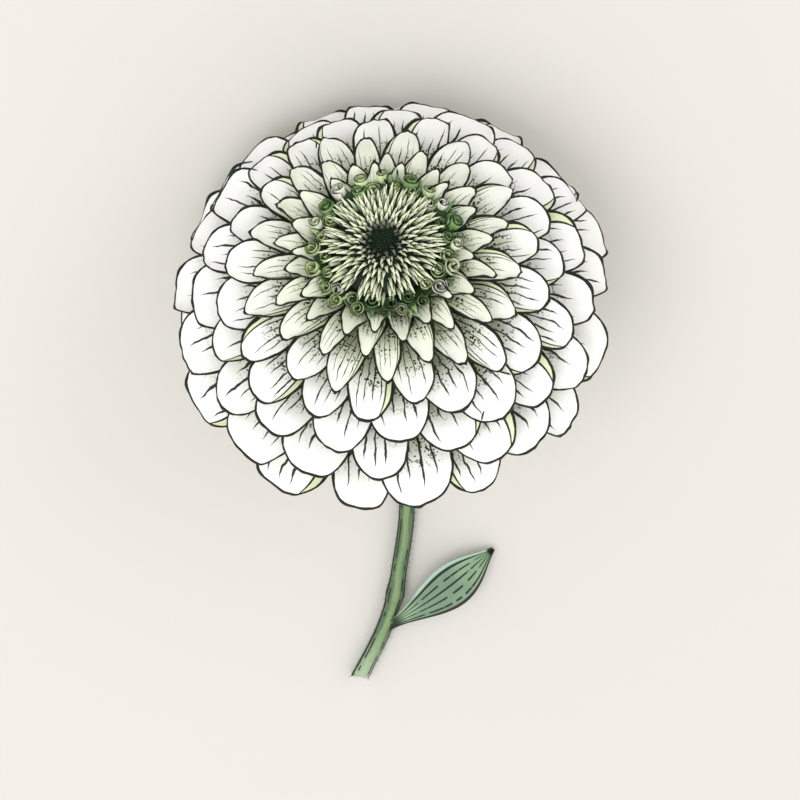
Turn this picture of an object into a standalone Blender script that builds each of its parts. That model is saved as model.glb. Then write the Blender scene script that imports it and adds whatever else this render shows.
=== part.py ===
"""A cut, fully double zinnia lying on a flat surface.

The head is a dome of ray petals in rows of 21 around a cone, the receptacle, that the stem swells
into. The cone's tip carries a button of disc florets and a ring of young, still rolled florets.
Three rows of green bracts hold the dome from behind, and one leaf sits on the stem.

Metres, +Z up. The flower rests on z = 0, the cut end of its stem points to +Y and its face looks to
-Y and up. The origin is the middle of its bounding box, at the bottom.
"""

import math

import bmesh
import bpy
from mathutils import Euler, Matrix, Vector

# Driving dimensions of the head, in metres. Heights run along the head's own axis, and height 0 is
# the plane where the dome is widest.
HEAD_RADIUS = 0.051
DOME_HEIGHT = 0.045
DOME_FALL = 0.002
DOME_POWER = 1.3
LOWEST_TIP_ANGLE = math.radians(-8)
HIGHEST_TIP_ANGLE = math.radians(55)
TIP_SPREAD = 0.65

# Rows of petals. Each petal stands one golden angle past the petal before it.
PETALS_IN_ROW = 21
ROWS = 5
LOOSE_ROWS = 2
GOLDEN_ANGLE = math.pi * (3 - math.sqrt(5))

# One outer petal leans towards the stem and hangs over it.
OVER_STEM_RANK = 19
OVER_STEM_LEAN = math.radians(-3.5)

# Petal sheets.
PETAL_THICKNESS = 0.0005
CLAW_HALF_WIDTH = 0.0007
PETAL_FILL = 1.06
PETAL_BULGE_FROM = 0.1
PETAL_BULGE_TO = 0.78
PETAL_ROUND_FROM = 0.8
TIP_CROWDING = 1.35
BLUNT_END = 0.87
CUP_DEPTH = 0.0011
CUP_FROM = 0.2
CUP_TO = 0.9
LOOSE_PETAL_GRID = (2, 5)
WHORL_PETAL_GRID = (2, 3)
OUTER_LEAVING_ANGLE = math.radians(5)
INNER_LEAVING_ANGLE = math.radians(60)
OUTER_TIP_PITCH = math.radians(-55)
INNER_TIP_PITCH = math.radians(-20)
NEAR_HANDLE = 0.42
FAR_HANDLE = 0.33

# The cone that the florets sit on, and the gap that separate pieces keep.
CONE_BASE_HEIGHT = -0.007
CONE_BASE_RADIUS = 0.0086
CONE_TOP_HEIGHT = 0.019
CONE_TOP_RADIUS = 0.0042
FIRST_ROW_HEIGHT = -0.0045
LAST_ROW_HEIGHT = 0.0160
COLLAR_THICKNESS = 0.0008
COLLAR_HALF_HEIGHT = 0.0010
COLLAR_STEPS = 24
CONE_STEPS = 28
GAP = 0.0003
MERGE_DISTANCE = 0.00001

# The stem.
STEM_RADIUS = 0.0020
STEM_TOP_HEIGHT = -0.0140
NECK_FLARE = 1.1
SWELLING_STEPS = 5

# How the head lies: tilted back from upright, turned a little, and pressed on the surface.
HEAD_TILT = math.radians(42)
HEAD_TURN = math.radians(5)
HEAD_SPIN = math.radians(4)
HEAD_CENTRE = Vector((0, 0, 0.0295))
SETTLED_HEIGHT = 0.014
SETTLED_SINK = 0.007
FLOOR_GAP = 0.00005

# The button and the rolled florets, as (radius, height) points.
BUTTON_PROFILE = [
    (0, 0.0394),
    (0.0060, 0.0392),
    (0.0105, 0.0382),
    (0.0128, 0.0362),
    (0.0122, 0.0336),
    (0.0088, 0.0292),
    (0.0054, 0.0240),
    (0.0036, 0.0204),
    (0, 0.0194),
]
FUNNEL_PROFILE = [
    (0.0130, 0.0342),
    (0.0138, 0.0338),
    (0.0102, 0.0290),
    (0.0094, 0.0294),
    (0.0130, 0.0342),
]
BUTTON_STEPS = 28
FUNNEL_STEPS = 34
ROLLS_IN_RING = 20
ROLL_RINGS = [((0.0118, 0.0311), (0.0150, 0.0372), 0), ((0.0124, 0.0318), (0.0177, 0.0368), 0.5)]
ROLL_FOOT_RADIUS = 0.0006
ROLL_RADIUS = 0.0015
ROLL_SIDES = 6

# Rows of bracts: height on the swelling, the tips' (radius, height), and the angles of rise.
BRACT_ROWS = [
    (-0.0122, (0.0100, -0.0106), math.radians(15), math.radians(20)),
    (-0.0107, (0.0133, -0.0085), math.radians(20), math.radians(20)),
    (-0.0092, (0.0165, -0.0060), math.radians(25), math.radians(22)),
]
BRACTS_IN_ROW = 8
BRACT_NOTCH = 0.35
BRACT_NOTCH_POWER = 3
BRACT_GRID = (4 * BRACTS_IN_ROW, 2)
BRACT_THICKNESS = 0.0004

# The stem's line below the neck, in metres from the point under the head's centre.
NECK_RISES = (0.002, -0.003)
STEM_REST = STEM_RADIUS + FLOOR_GAP
STEM_POINTS = [
    (-0.0018, 0.0225, 0.0104),
    (-0.0026, 0.0350, 0.0050),
    (-0.0032, 0.0500, 0.0024),
    (-0.0033, 0.0620, STEM_REST),
    (-0.0020, 0.0730, STEM_REST),
    (0.0009, 0.0880, STEM_REST),
    (0.0084, 0.1050, STEM_REST),
]

# The leaf: where it leaves the stem, its heading, and its rib in its own upright plane.
LEAF_ROOT = Vector((-0.0012, 0.0888, 0))
LEAF_HEADING = math.radians(217.5)
LEAF_RIB = [(0.0006, 0.0030), (0.0090, 0.0062), (0.0190, 0.0062), (0.0290, 0.0006)]
LEAF_CUP = 0.0008
LEAF_GRID = (4, 10)
LEAF_FOOT = 0.0011
LEAF_BELLY = 0.0046
LEAF_BELLY_PLACE = 1.25
LEAF_BELLY_POWER = 1.3
LEAF_END = 0.0003

PETAL_WHITE = (0.93, 0.94, 0.89)
PALE_GREEN = (0.74, 0.80, 0.58)
ROLLED_GREEN = (0.38, 0.48, 0.25)
BRACT_GREEN = (0.13, 0.24, 0.08)
STEM_GREEN = (0.19, 0.31, 0.14)
LEAF_GREEN = (0.20, 0.35, 0.20)
ROUGHNESS = 0.6
BUTTON_ROUGHNESS = 0.7


def clear_scene():
    for old in list(bpy.data.objects):
        bpy.data.objects.remove(old)


def collection(name):
    made = bpy.data.collections.new(name)
    bpy.context.scene.collection.children.link(made)
    return made


def material(name, colour, roughness=ROUGHNESS):
    made = bpy.data.materials.new(name)
    made.use_nodes = True
    surface = made.node_tree.nodes["Principled BSDF"]
    surface.inputs["Base Color"].default_value = (*colour, 1)
    surface.inputs["Roughness"].default_value = roughness
    surface.inputs["Metallic"].default_value = 0
    return made


def mix(start, end, share):
    return start + (end - start) * share


def new_object(name, mesh, group, parent=None, finish=None):
    made = bpy.data.objects.new(name, mesh)
    group.objects.link(made)
    made.parent = parent
    if finish:
        mesh.materials.append(finish)
    return made


def add_solidify(piece, thickness):
    wall = piece.modifiers.new("wall", "SOLIDIFY")
    wall.thickness = thickness
    wall.offset = 0


# Shape of the dome and of the petals' ribs, in the half plane of radius and height.


def tip_angle(level):
    """Angle of a petal's tip on the dome, for level 0 at the outermost petal and 1 at the innermost."""
    return mix(LOWEST_TIP_ANGLE, HIGHEST_TIP_ANGLE, level**TIP_SPREAD)


def dome_point(angle):
    """Point of the dome at this angle above its widest plane. The power makes it a little conical."""
    sine = math.sin(angle)
    radius = HEAD_RADIUS * math.cos(angle) ** DOME_POWER
    height = DOME_HEIGHT * math.copysign(abs(sine) ** DOME_POWER, sine)
    return Vector((radius, height - DOME_FALL))


def cone_radius(height):
    share = (height - CONE_BASE_HEIGHT) / (CONE_TOP_HEIGHT - CONE_BASE_HEIGHT)
    return mix(CONE_BASE_RADIUS, CONE_TOP_RADIUS, share)


def row_height(row):
    return mix(FIRST_ROW_HEIGHT, LAST_ROW_HEIGHT, row / (ROWS - 1))


def along(angle):
    return Vector((math.cos(angle), math.sin(angle)))


def rib(row, level):
    """The four control points of a petal's midrib, from the cone to its tip on the dome."""
    height = row_height(row)
    start = Vector((cone_radius(height) + GAP + COLLAR_THICKNESS / 2, height))
    end = dome_point(tip_angle(level))
    leaving = mix(OUTER_LEAVING_ANGLE, INNER_LEAVING_ANGLE, level)
    arriving = mix(OUTER_TIP_PITCH, INNER_TIP_PITCH, level)
    reach = (end - start).length
    return (
        start,
        start + along(leaving) * reach * NEAR_HANDLE,
        end - along(arriving) * reach * FAR_HANDLE,
        end,
    )


def on_curve(points, t):
    """Point and direction on the cubic curve through four control points."""
    a, b, c, d = points
    s = 1 - t
    place = a * s**3 + b * 3 * s * s * t + c * 3 * s * t * t + d * t**3
    slope = (b - a) * s * s + (c - b) * 2 * s * t + (d - c) * t * t
    return place, slope.normalized()


def smooth(low, high, value):
    share = min(1, max(0, (value - low) / (high - low)))
    return share * share * (3 - 2 * share)


def round_end(start, share):
    """Factor that rounds an outline off over the last of its length, to a narrow blunt point."""
    past = max(0, share - start) / (1 - start)
    return math.sqrt(1 - BLUNT_END * past * past)


def petal_half_width(widest, share):
    """Half width of a petal at this share of its length: a claw, a broad limb and a round tip."""
    limb = mix(CLAW_HALF_WIDTH, widest, smooth(PETAL_BULGE_FROM, PETAL_BULGE_TO, share))
    return limb * round_end(PETAL_ROUND_FROM, share)


def blade(name, points, half_width, cup, grid):
    """An open sheet that follows a rib in the XZ plane and is cupped towards the rib's upper side."""
    mesh = bpy.data.meshes.new(name)
    work = bmesh.new()
    bmesh.ops.create_grid(work, x_segments=grid[0], y_segments=grid[1], size=1)
    for corner in work.verts:
        across = corner.co.x
        share = 1 - ((1 - corner.co.y) / 2) ** TIP_CROWDING
        place, forward = on_curve(points, share)
        lift = cup * across * across * smooth(CUP_FROM, CUP_TO, share)
        x = place.x - forward.y * lift
        z = place.y + forward.x * lift
        corner.co = (x, -across * half_width(share), z)
    work.to_mesh(mesh)
    work.free()
    return mesh


# Where the head lies.


def head_matrix():
    turn = Euler((HEAD_TILT, 0, HEAD_TURN)).to_matrix().to_4x4()
    return Matrix.Translation(HEAD_CENTRE) @ turn


def settle(piece, matrix, lowest):
    """Presses a sheet up where it lies on the surface, less and less up to SETTLED_HEIGHT."""
    back = matrix.inverted()
    top = SETTLED_HEIGHT
    for corner in piece.vertices:
        place = matrix @ corner.co
        if place.z < top:
            share = (top - place.z) / (top + SETTLED_SINK)
            place.z = max(lowest, place.z + SETTLED_SINK * share * share)
            corner.co = back @ place


def petal_mesh(name, rank, grid):
    row = rank // PETALS_IN_ROW
    level = rank / (ROWS * PETALS_IN_ROW - 1)
    points = rib(row, level)
    widest = points[3].x * math.tan(math.pi / PETALS_IN_ROW) * PETAL_FILL
    return blade(name, points, lambda share: petal_half_width(widest, share), CUP_DEPTH, grid)


def petal(name, rank, group, head, finish, grid):
    """One petal, turned to its own place round the head and settled on the surface."""
    made = new_object(name, petal_mesh(name, rank, grid), group, head, finish)
    lean = OVER_STEM_LEAN if rank == OVER_STEM_RANK else 0
    made.rotation_euler.z = HEAD_SPIN + rank * GOLDEN_ANGLE + lean
    world = head_matrix() @ made.rotation_euler.to_matrix().to_4x4()
    settle(made.data, world, PETAL_THICKNESS / 2 + FLOOR_GAP)
    made.data.shade_smooth()
    add_solidify(made, PETAL_THICKNESS)
    return made


def turned(name, profile, group, parent, finish, steps):
    """A solid or ring turned about the head's axis. The profile runs down its outer side."""
    mesh = bpy.data.meshes.new(name)
    work = bmesh.new()
    corners = [work.verts.new((radius, 0, height)) for radius, height in profile]
    for first, second in zip(corners, corners[1:]):
        work.edges.new((first, second))
    work.to_mesh(mesh)
    work.free()
    made = new_object(name, mesh, group, parent, finish)
    screw = made.modifiers.new("turn", "SCREW")
    screw.steps = steps
    screw.render_steps = steps
    screw.use_merge_vertices = True
    screw.merge_threshold = MERGE_DISTANCE
    screw.use_smooth_shade = True
    return made


def union(piece, others):
    """Joins every object of a collection to this one."""
    joined = piece.modifiers.new("join", "BOOLEAN")
    joined.operation = "UNION"
    joined.operand_type = "COLLECTION"
    joined.collection = others


def loose_petals(flower, head, finish):
    """The petals of the outer rows, each one a piece of its own."""
    for rank in range(LOOSE_ROWS * PETALS_IN_ROW):
        row, place = divmod(rank, PETALS_IN_ROW)
        petal(f"petal_row{row + 1}_{place + 1:02d}", rank, flower, head, finish, LOOSE_PETAL_GRID)


def helper_group(name):
    """A collection for the shapes that a union joins, which aren't pieces themselves."""
    made = bpy.data.collections.new(name)
    bpy.data.collections["helpers"].children.link(made)
    return made


def as_helper(piece):
    piece.hide_render = True
    piece.display_type = "WIRE"


def whorl(row, flower, head, finish):
    """One whole row of petals, whose claws stand on a shared collar round the cone."""
    middle = row_height(row)
    low = middle - COLLAR_HALF_HEIGHT
    high = middle + COLLAR_HALF_HEIGHT
    inner_low, inner_high = cone_radius(low) + GAP, cone_radius(high) + GAP
    profile = [
        (inner_high, high),
        (inner_high + COLLAR_THICKNESS, high),
        (inner_low + COLLAR_THICKNESS, low),
        (inner_low, low),
        (inner_high, high),
    ]
    collar = turned(f"petal_row{row + 1}", profile, flower, head, finish, COLLAR_STEPS)
    claws = helper_group(f"petals_of_row{row + 1}")
    for place in range(PETALS_IN_ROW):
        rank = row * PETALS_IN_ROW + place
        name = f"row{row + 1}_petal{place + 1:02d}"
        as_helper(petal(name, rank, claws, head, None, WHORL_PETAL_GRID))
    union(collar, claws)


def disc_florets(flower, head):
    """The button of tightly packed florets on the tip of the cone."""
    finish = material("disc_green", PALE_GREEN, BUTTON_ROUGHNESS)
    turned("disc_florets", BUTTON_PROFILE, flower, head, finish, BUTTON_STEPS)


def rolled_florets(flower, head):
    """Two rings of young florets, still rolled up, on a funnel round the button."""
    finish = material("rolled_green", ROLLED_GREEN)
    funnel = turned("rolled_florets", FUNNEL_PROFILE, flower, head, finish, FUNNEL_STEPS)
    rolls = helper_group("rolls")
    for start, end, offset in ROLL_RINGS:
        for place in range(ROLLS_IN_RING):
            foot, tip = Vector(start), Vector(end)
            mesh = bpy.data.meshes.new("roll")
            work = bmesh.new()
            bmesh.ops.create_cone(
                work,
                cap_ends=True,
                segments=ROLL_SIDES,
                radius1=ROLL_FOOT_RADIUS,
                radius2=ROLL_RADIUS,
                depth=(tip - foot).length,
            )
            middle = (foot + tip) / 2
            lean = math.atan2(tip.x - foot.x, tip.y - foot.y)
            stand = Matrix.Translation((middle.x, 0, middle.y)) @ Matrix.Rotation(lean, 4, "Y")
            work.transform(stand)
            work.to_mesh(mesh)
            work.free()
            roll = new_object(f"roll_{offset}_{place}", mesh, rolls, head)
            roll.rotation_euler.z = (place + offset) * 2 * math.pi / ROLLS_IN_RING
            as_helper(roll)
    union(funnel, rolls)


def under_radius(height):
    """Radius of the stem's swelling under the cone."""
    share = smooth(STEM_TOP_HEIGHT, CONE_BASE_HEIGHT, height)
    return mix(STEM_RADIUS * NECK_FLARE, CONE_BASE_RADIUS, share)


def bract_row(number, ring, flower, head, finish):
    """One row of bracts: a shallow green cup round the stem's swelling, with a scalloped rim."""
    height, tip, leaving, arriving = ring
    start = Vector((under_radius(height) + GAP + BRACT_THICKNESS, height))
    end = Vector(tip)
    reach = (end - start).length / 3
    points = (start, start + along(leaving) * reach, end - along(arriving) * reach, end)
    mesh = bpy.data.meshes.new(f"bracts_row{number}")
    work = bmesh.new()
    bmesh.ops.create_grid(work, x_segments=BRACT_GRID[0], y_segments=BRACT_GRID[1], size=1)
    for corner in work.verts:
        turn = math.pi * (corner.co.x + number / BRACTS_IN_ROW)
        notch = abs(math.sin(turn * BRACTS_IN_ROW / 2)) ** BRACT_NOTCH_POWER
        share = (corner.co.y + 1) / 2 * (1 - BRACT_NOTCH * notch)
        place, _ = on_curve(points, share)
        corner.co = (place.x * math.cos(turn), place.x * math.sin(turn), place.y)
    bmesh.ops.remove_doubles(work, verts=work.verts, dist=MERGE_DISTANCE)
    bmesh.ops.recalc_face_normals(work, faces=work.faces)
    work.to_mesh(mesh)
    work.free()
    mesh.shade_smooth()
    add_solidify(new_object(f"bracts_row{number}", mesh, flower, head, finish), BRACT_THICKNESS)


def stem(flower, root, head):
    """The stem, which swells into the cone that carries the florets, as one piece."""
    finish = material("stem_green", STEM_GREEN)
    curve = bpy.data.curves.new("stem_line", "CURVE")
    curve.dimensions = "3D"
    curve.resolution_u = 3
    curve.bevel_depth = STEM_RADIUS
    curve.bevel_resolution = 2
    curve.use_fill_caps = True
    line = curve.splines.new("BEZIER")
    to_world = head_matrix()
    neck = [to_world @ Vector((0, 0, STEM_TOP_HEIGHT + rise)) for rise in NECK_RISES]
    points = [*neck, *(Vector(point) for point in STEM_POINTS)]
    line.bezier_points.add(len(points) - 1)
    for knot, place in zip(line.bezier_points, points):
        knot.co = place
        knot.handle_left_type = knot.handle_right_type = "AUTO"
    guide = bpy.data.objects.new("stem_line", curve)
    flower.objects.link(guide)
    bpy.context.view_layer.update()
    mesh = bpy.data.meshes.new_from_object(guide.evaluated_get(bpy.context.evaluated_depsgraph_get()))
    work = bmesh.new()
    work.from_mesh(mesh)
    bmesh.ops.remove_doubles(work, verts=work.verts, dist=MERGE_DISTANCE)
    work.to_mesh(mesh)
    work.free()
    mesh.shade_smooth()
    bpy.data.objects.remove(guide)
    stalk = new_object("stem", mesh, flower, root, finish)
    shares = [step / SWELLING_STEPS for step in range(SWELLING_STEPS + 1)]
    heights = [mix(CONE_BASE_HEIGHT, STEM_TOP_HEIGHT, share) for share in shares]
    profile = [
        (0, CONE_TOP_HEIGHT),
        (CONE_TOP_RADIUS, CONE_TOP_HEIGHT),
        *((under_radius(height), height) for height in heights),
        (0, STEM_TOP_HEIGHT),
    ]
    cones = helper_group("receptacle")
    as_helper(turned("cone", profile, cones, head, None, CONE_STEPS))
    union(stalk, cones)


def leaf_half_width(share):
    """Half width of the leaf: a narrowing foot, a belly beyond the middle and a thin end."""
    belly = math.sin(math.pi * share**LEAF_BELLY_PLACE) ** LEAF_BELLY_POWER
    return LEAF_FOOT * (1 - share) + LEAF_BELLY * belly + LEAF_END


def leaf(flower, root):
    """The one leaf, which springs from a knot of the stem, arches over and lies on its tip."""
    finish = material("leaf_green", LEAF_GREEN)
    points = tuple(Vector(point) for point in LEAF_RIB)
    mesh = blade("leaf", points, leaf_half_width, LEAF_CUP, LEAF_GRID)
    made = new_object("leaf", mesh, flower, root, finish)
    made.location = LEAF_ROOT
    made.rotation_euler.z = LEAF_HEADING
    mesh.shade_smooth()
    add_solidify(made, PETAL_THICKNESS)


def put_origin_under_middle(flower, root):
    """Moves the whole flower so that the middle of its bounding box, at the bottom, is the origin."""
    bpy.context.view_layer.update()
    graph = bpy.context.evaluated_depsgraph_get()
    corners = []
    for piece in flower.objects:
        if piece.type == "MESH":
            shape = piece.evaluated_get(graph).to_mesh()
            corners += [piece.matrix_world @ corner.co for corner in shape.vertices]
    low = Vector(map(min, zip(*corners)))
    high = Vector(map(max, zip(*corners)))
    root.location = (-(low.x + high.x) / 2, -(low.y + high.y) / 2, -low.z)


def main():
    clear_scene()
    flower = collection("zinnia")
    helpers = collection("helpers")
    root = bpy.data.objects.new("zinnia_root", None)
    head = bpy.data.objects.new("head", None)
    head.parent = root
    flower.objects.link(root)
    flower.objects.link(head)
    head.location = HEAD_CENTRE
    head.rotation_euler = (HEAD_TILT, 0, HEAD_TURN)
    white = material("petal_white", PETAL_WHITE)
    green = material("bract_green", BRACT_GREEN)
    loose_petals(flower, head, white)
    for row in range(LOOSE_ROWS, ROWS):
        whorl(row, flower, head, white)
    disc_florets(flower, head)
    rolled_florets(flower, head)
    for number, ring in enumerate(BRACT_ROWS, 1):
        bract_row(number, ring, flower, head, green)
    stem(flower, root, head)
    leaf(flower, root)
    helpers.hide_render = True
    put_origin_under_middle(flower, root)


main()
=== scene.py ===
# %% [markdown]
# # A white zinnia, cut and laid on a table
#
# A double zinnia is built from a few kinds of leaf-like pieces on one cone. Broad ray petals stand in
# a spiral, with the widest ones outside. Then come small young florets that are still rolled up, then
# a button of thin disc florets. Green bracts hold the head from behind, and the stem carries one leaf.
#
# The model of the construction is loaded first. It stays where it is, and every piece made below
# takes its place from it.

# %% Tools, and the fixed frame
import math
import random

import bmesh
import bpy
from mathutils import Euler, Matrix, Vector


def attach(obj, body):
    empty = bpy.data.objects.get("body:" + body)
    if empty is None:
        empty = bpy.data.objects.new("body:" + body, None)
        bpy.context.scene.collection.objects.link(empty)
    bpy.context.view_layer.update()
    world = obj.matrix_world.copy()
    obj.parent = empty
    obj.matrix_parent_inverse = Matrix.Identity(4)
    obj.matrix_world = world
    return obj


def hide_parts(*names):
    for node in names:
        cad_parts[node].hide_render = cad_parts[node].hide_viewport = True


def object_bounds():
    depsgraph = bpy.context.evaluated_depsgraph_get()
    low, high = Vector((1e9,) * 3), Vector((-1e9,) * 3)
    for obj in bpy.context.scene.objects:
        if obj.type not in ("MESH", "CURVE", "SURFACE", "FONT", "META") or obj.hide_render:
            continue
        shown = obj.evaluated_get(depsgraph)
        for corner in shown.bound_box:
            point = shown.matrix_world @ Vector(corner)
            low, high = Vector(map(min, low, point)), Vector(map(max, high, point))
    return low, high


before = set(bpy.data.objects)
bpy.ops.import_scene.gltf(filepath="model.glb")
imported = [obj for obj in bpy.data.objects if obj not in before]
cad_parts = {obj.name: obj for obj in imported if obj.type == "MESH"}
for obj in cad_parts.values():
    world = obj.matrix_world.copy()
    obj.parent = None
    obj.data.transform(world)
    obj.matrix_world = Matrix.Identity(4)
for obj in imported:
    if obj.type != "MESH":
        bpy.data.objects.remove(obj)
cad_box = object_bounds()
low, high = (Vector(corner) for corner in cad_box)
MM = 0.001
print("nodes:", len(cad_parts), "size in mm:", [round(side / MM, 1) for side in high - low])

# %% [markdown]
# The head has its own upright frame: its axis is Z, and height 0 is where the dome is widest. The
# button sits on that axis, so its middle and its top say where the head is.

# %% The head's own frame
HEAD_TILT = math.radians(42)
HEAD_TURN = math.radians(5)
BUTTON_TOP = 39.4 * MM

head_turn = Euler((HEAD_TILT, 0, HEAD_TURN)).to_matrix()
button_points = [head_turn.inverted() @ v.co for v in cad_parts["disc_florets"].data.vertices]
button_low = Vector(map(min, zip(*button_points)))
button_high = Vector(map(max, zip(*button_points)))
head_centre = (button_low + button_high) / 2
head_centre.z = button_high.z - BUTTON_TOP
HEAD = Matrix.Translation(head_turn @ head_centre) @ head_turn.to_4x4()
print("head's centre in mm:", [round(value / MM, 2) for value in HEAD.translation])

# %% [markdown]
# ## The shape of the head
#
# The petals end on a dome, whose shoulders are straighter than a ball's. They start on a cone in its
# middle, with the claws of each row a little higher than those of the row outside it.

# %% The dome and the cone
PETALS_IN_ROW = 21
ROWS = 5
HEAD_RADIUS = 51 * MM
DOME_HEIGHT = 45 * MM
DOME_FALL = 2 * MM
DOME_POWER = 1.3
CLAW_HEIGHTS = (-4.5 * MM, 16 * MM)
CONE_FOOT = -7 * MM
CONE_HEIGHT = 26 * MM
CONE_RADII = (8.6 * MM, 4.2 * MM)
CLAW_GAP = 0.7 * MM


def mix(start, end, share):
    return start + (end - start) * share


def smooth(start, end, value):
    """Rises gently from 0 at the start to 1 at the end, which may be the smaller of the two."""
    share = min(1, max(0, (value - start) / (end - start)))
    return share * share * (3 - 2 * share)


def dome_point(angle):
    """A point of the dome at this angle above its widest plane."""
    sine = math.sin(angle)
    radius = HEAD_RADIUS * math.cos(angle) ** DOME_POWER
    height = DOME_HEIGHT * math.copysign(abs(sine) ** DOME_POWER, sine)
    return Vector((radius, 0, height - DOME_FALL))


def cone_point(row):
    """Where the claws of a row meet the cone."""
    height = mix(*CLAW_HEIGHTS, row / (ROWS - 1))
    radius = mix(*CONE_RADII, (height - CONE_FOOT) / CONE_HEIGHT)
    return Vector((radius + CLAW_GAP, 0, height))


print("dome's top in mm:", round(dome_point(math.pi / 2).z / MM, 1))

# %% [markdown]
# A rib is the curve that a petal follows: out of the cone, up, and over to the dome. Each petal stands
# one golden angle on from the last, and a little higher, which is how the flower packs them.

# %% The ribs
PETALS = PETALS_IN_ROW * ROWS
GOLDEN_ANGLE = math.pi * (3 - math.sqrt(5))
HEAD_SPIN = math.radians(4)
TIP_ANGLES = (-8, 55)
TIP_POWER = 0.65
LEAVING_ANGLES = (5, 60)
ARRIVING_ANGLES = (-55, -20)
FIRST_HANDLE = 0.42
LAST_HANDLE = 0.33


def angle_mix(degrees, share):
    """Mixes two angles in degrees, and gives radians."""
    return math.radians(mix(*degrees, share))


def rising(angle):
    return Vector((math.cos(angle), 0, math.sin(angle)))


def rib_between(start, end, leaving, arriving):
    """Start, first handle, second handle and end of a rib, in the XZ plane."""
    reach = (end - start).length
    first = start + rising(leaving) * reach * FIRST_HANDLE
    return start, first, end - rising(arriving) * reach * LAST_HANDLE, end


def rib(rank):
    level = rank / (PETALS - 1)
    start = cone_point(rank // PETALS_IN_ROW)
    end = dome_point(angle_mix(TIP_ANGLES, level**TIP_POWER))
    return rib_between(start, end, angle_mix(LEAVING_ANGLES, level), angle_mix(ARRIVING_ANGLES, level))


print("outermost tip:", rib(0)[3], "innermost:", rib(PETALS - 1)[3])

# %% [markdown]
# ## Helpers for modelling
#
# An operator acts on everything that is selected, so a helper first selects one piece only. Most
# pieces of this flower are thin and have a length and two sides, so each starts as a flat grid in
# edit mode, one unit long and one unit to each side. Its corners are known by two shares: along the
# grid, from 0 to 1, and across it, from -1 to 1.

# %% Selecting, and the corners of a grid
SAME_PLACE = 0.001
GRID_START = (0, 0, 0)


def select_only(*objects):
    for other in bpy.context.selected_objects:
        other.select_set(False)
    for piece in objects:
        piece.select_set(True)
    bpy.context.view_layer.objects.active = objects[0]


def flat_grid(name, grid):
    bpy.ops.mesh.primitive_grid_add(x_subdivisions=grid[0], y_subdivisions=grid[1], size=2)
    piece = bpy.context.object
    piece.name = piece.data.name = name
    bpy.ops.object.mode_set(mode="EDIT")
    bpy.ops.mesh.select_all(action="SELECT")
    bpy.ops.transform.translate(value=(1, 0, 0))
    bpy.ops.transform.resize(value=(0.5, 1, 1), center_override=GRID_START)
    return piece


def grid_place(index, grid):
    """The shares along and across a grid of one of its corners."""
    stations, columns = grid
    return index % (stations + 1) / stations, index // (stations + 1) / columns * 2 - 1


def same(first, second):
    return abs(first - second) < SAME_PLACE


def pick_grid(grid, test):
    """In edit mode, selects the corners of a grid by their shares along and across it."""
    mesh = bmesh.from_edit_mesh(bpy.context.object.data)
    for corner in mesh.verts:
        corner.select = test(*grid_place(corner.index, grid))
    mesh.select_flush_mode()
    bmesh.update_edit_mesh(bpy.context.object.data)


print("corners of a grid share places nearer than", SAME_PLACE)

# %% [markdown]
# A grid takes its shape from whole rows and columns, moved or scaled by the operators. Rows are
# narrowed to an outline, raised to an arch, or drawn in to an axis. Columns are lifted in pairs, which
# hollows the piece or gives it grooves.

# %% Shaping a grid by rows and columns


def shares(count):
    return [number / count for number in range(count + 1)]


def pick_row(grid, share):
    pick_grid(grid, lambda along, across: same(along, share))


def narrow_rows(grid, half_width):
    """Narrows each row to the half width given for its share along."""
    for share in shares(grid[0]):
        pick_row(grid, share)
        bpy.ops.transform.resize(value=(1, half_width(share), 1), center_override=(share, 0, 0))


def raise_rows(grid, rise):
    for share in shares(grid[0]):
        pick_row(grid, share)
        bpy.ops.transform.translate(value=(0, 0, rise(share)))


def draw_in_rows(grid, size, axis_height=0):
    """Scales each row of a rolled grid towards its axis."""
    for share in shares(grid[0]):
        pick_row(grid, share)
        grow = size(share)
        bpy.ops.transform.resize(value=(1, grow, grow), center_override=(share, 0, axis_height))


def lift_columns(grid, lift):
    """Moves each pair of columns by the vector given for its share of the way to the rim."""
    for out in shares(grid[1] // 2):
        pick_grid(grid, lambda along, across: same(abs(across), out))
        bpy.ops.transform.translate(value=lift(out))


print("rows of a grid of 4:", shares(4))

# %% [markdown]
# Walls, bends and rounding come from modifiers, which are applied, so that each finished piece is a
# plain mesh. Its place is applied too, because patterns read the place of a point in its object.

# %% Copying, modifiers and places


def copy_of(pattern, name):
    piece = pattern.copy()
    piece.data = pattern.data.copy()
    piece.name = piece.data.name = name
    bpy.context.collection.objects.link(piece)
    return piece


def remove(*objects):
    for thing in objects:
        bpy.data.objects.remove(thing)


def bend_along(piece, guide):
    bend = piece.modifiers.new("bend", "CURVE")
    bend.object = guide


def give_wall(piece, thickness, **settings):
    """Turns a sheet into a closed shell of this thickness."""
    wall = piece.modifiers.new("wall", "SOLIDIFY")
    wall.thickness = thickness
    for name, value in settings.items():
        setattr(wall, name, value)


def round_off(piece):
    rounding = piece.modifiers.new("rounding", "SUBSURF")
    rounding.levels = rounding.render_levels = 1


def apply_modifiers(piece):
    select_only(piece)
    for modifier in list(piece.modifiers):
        bpy.ops.object.modifier_apply(modifier=modifier.name)


def apply_place(piece):
    select_only(piece)
    bpy.ops.object.transform_apply(location=True, rotation=True, scale=True)


def shade_smooth(piece):
    select_only(piece)
    bpy.ops.object.shade_smooth()


def join(pieces, name):
    select_only(*pieces)
    bpy.ops.object.join()
    joined = bpy.context.object
    joined.name = joined.data.name = name
    return joined


def store(piece, name, values):
    attribute = piece.data.attributes.new(name, "FLOAT", "POINT")
    attribute.data.foreach_set("value", values)


def triangles(piece):
    return sum(len(face.vertices) - 2 for face in piece.data.polygons)


# %% [markdown]
# A strap is made along X. To stand on the head it is scaled, twisted about its length, pitched up,
# moved out from the axis, and turned to its angle round it.

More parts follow.
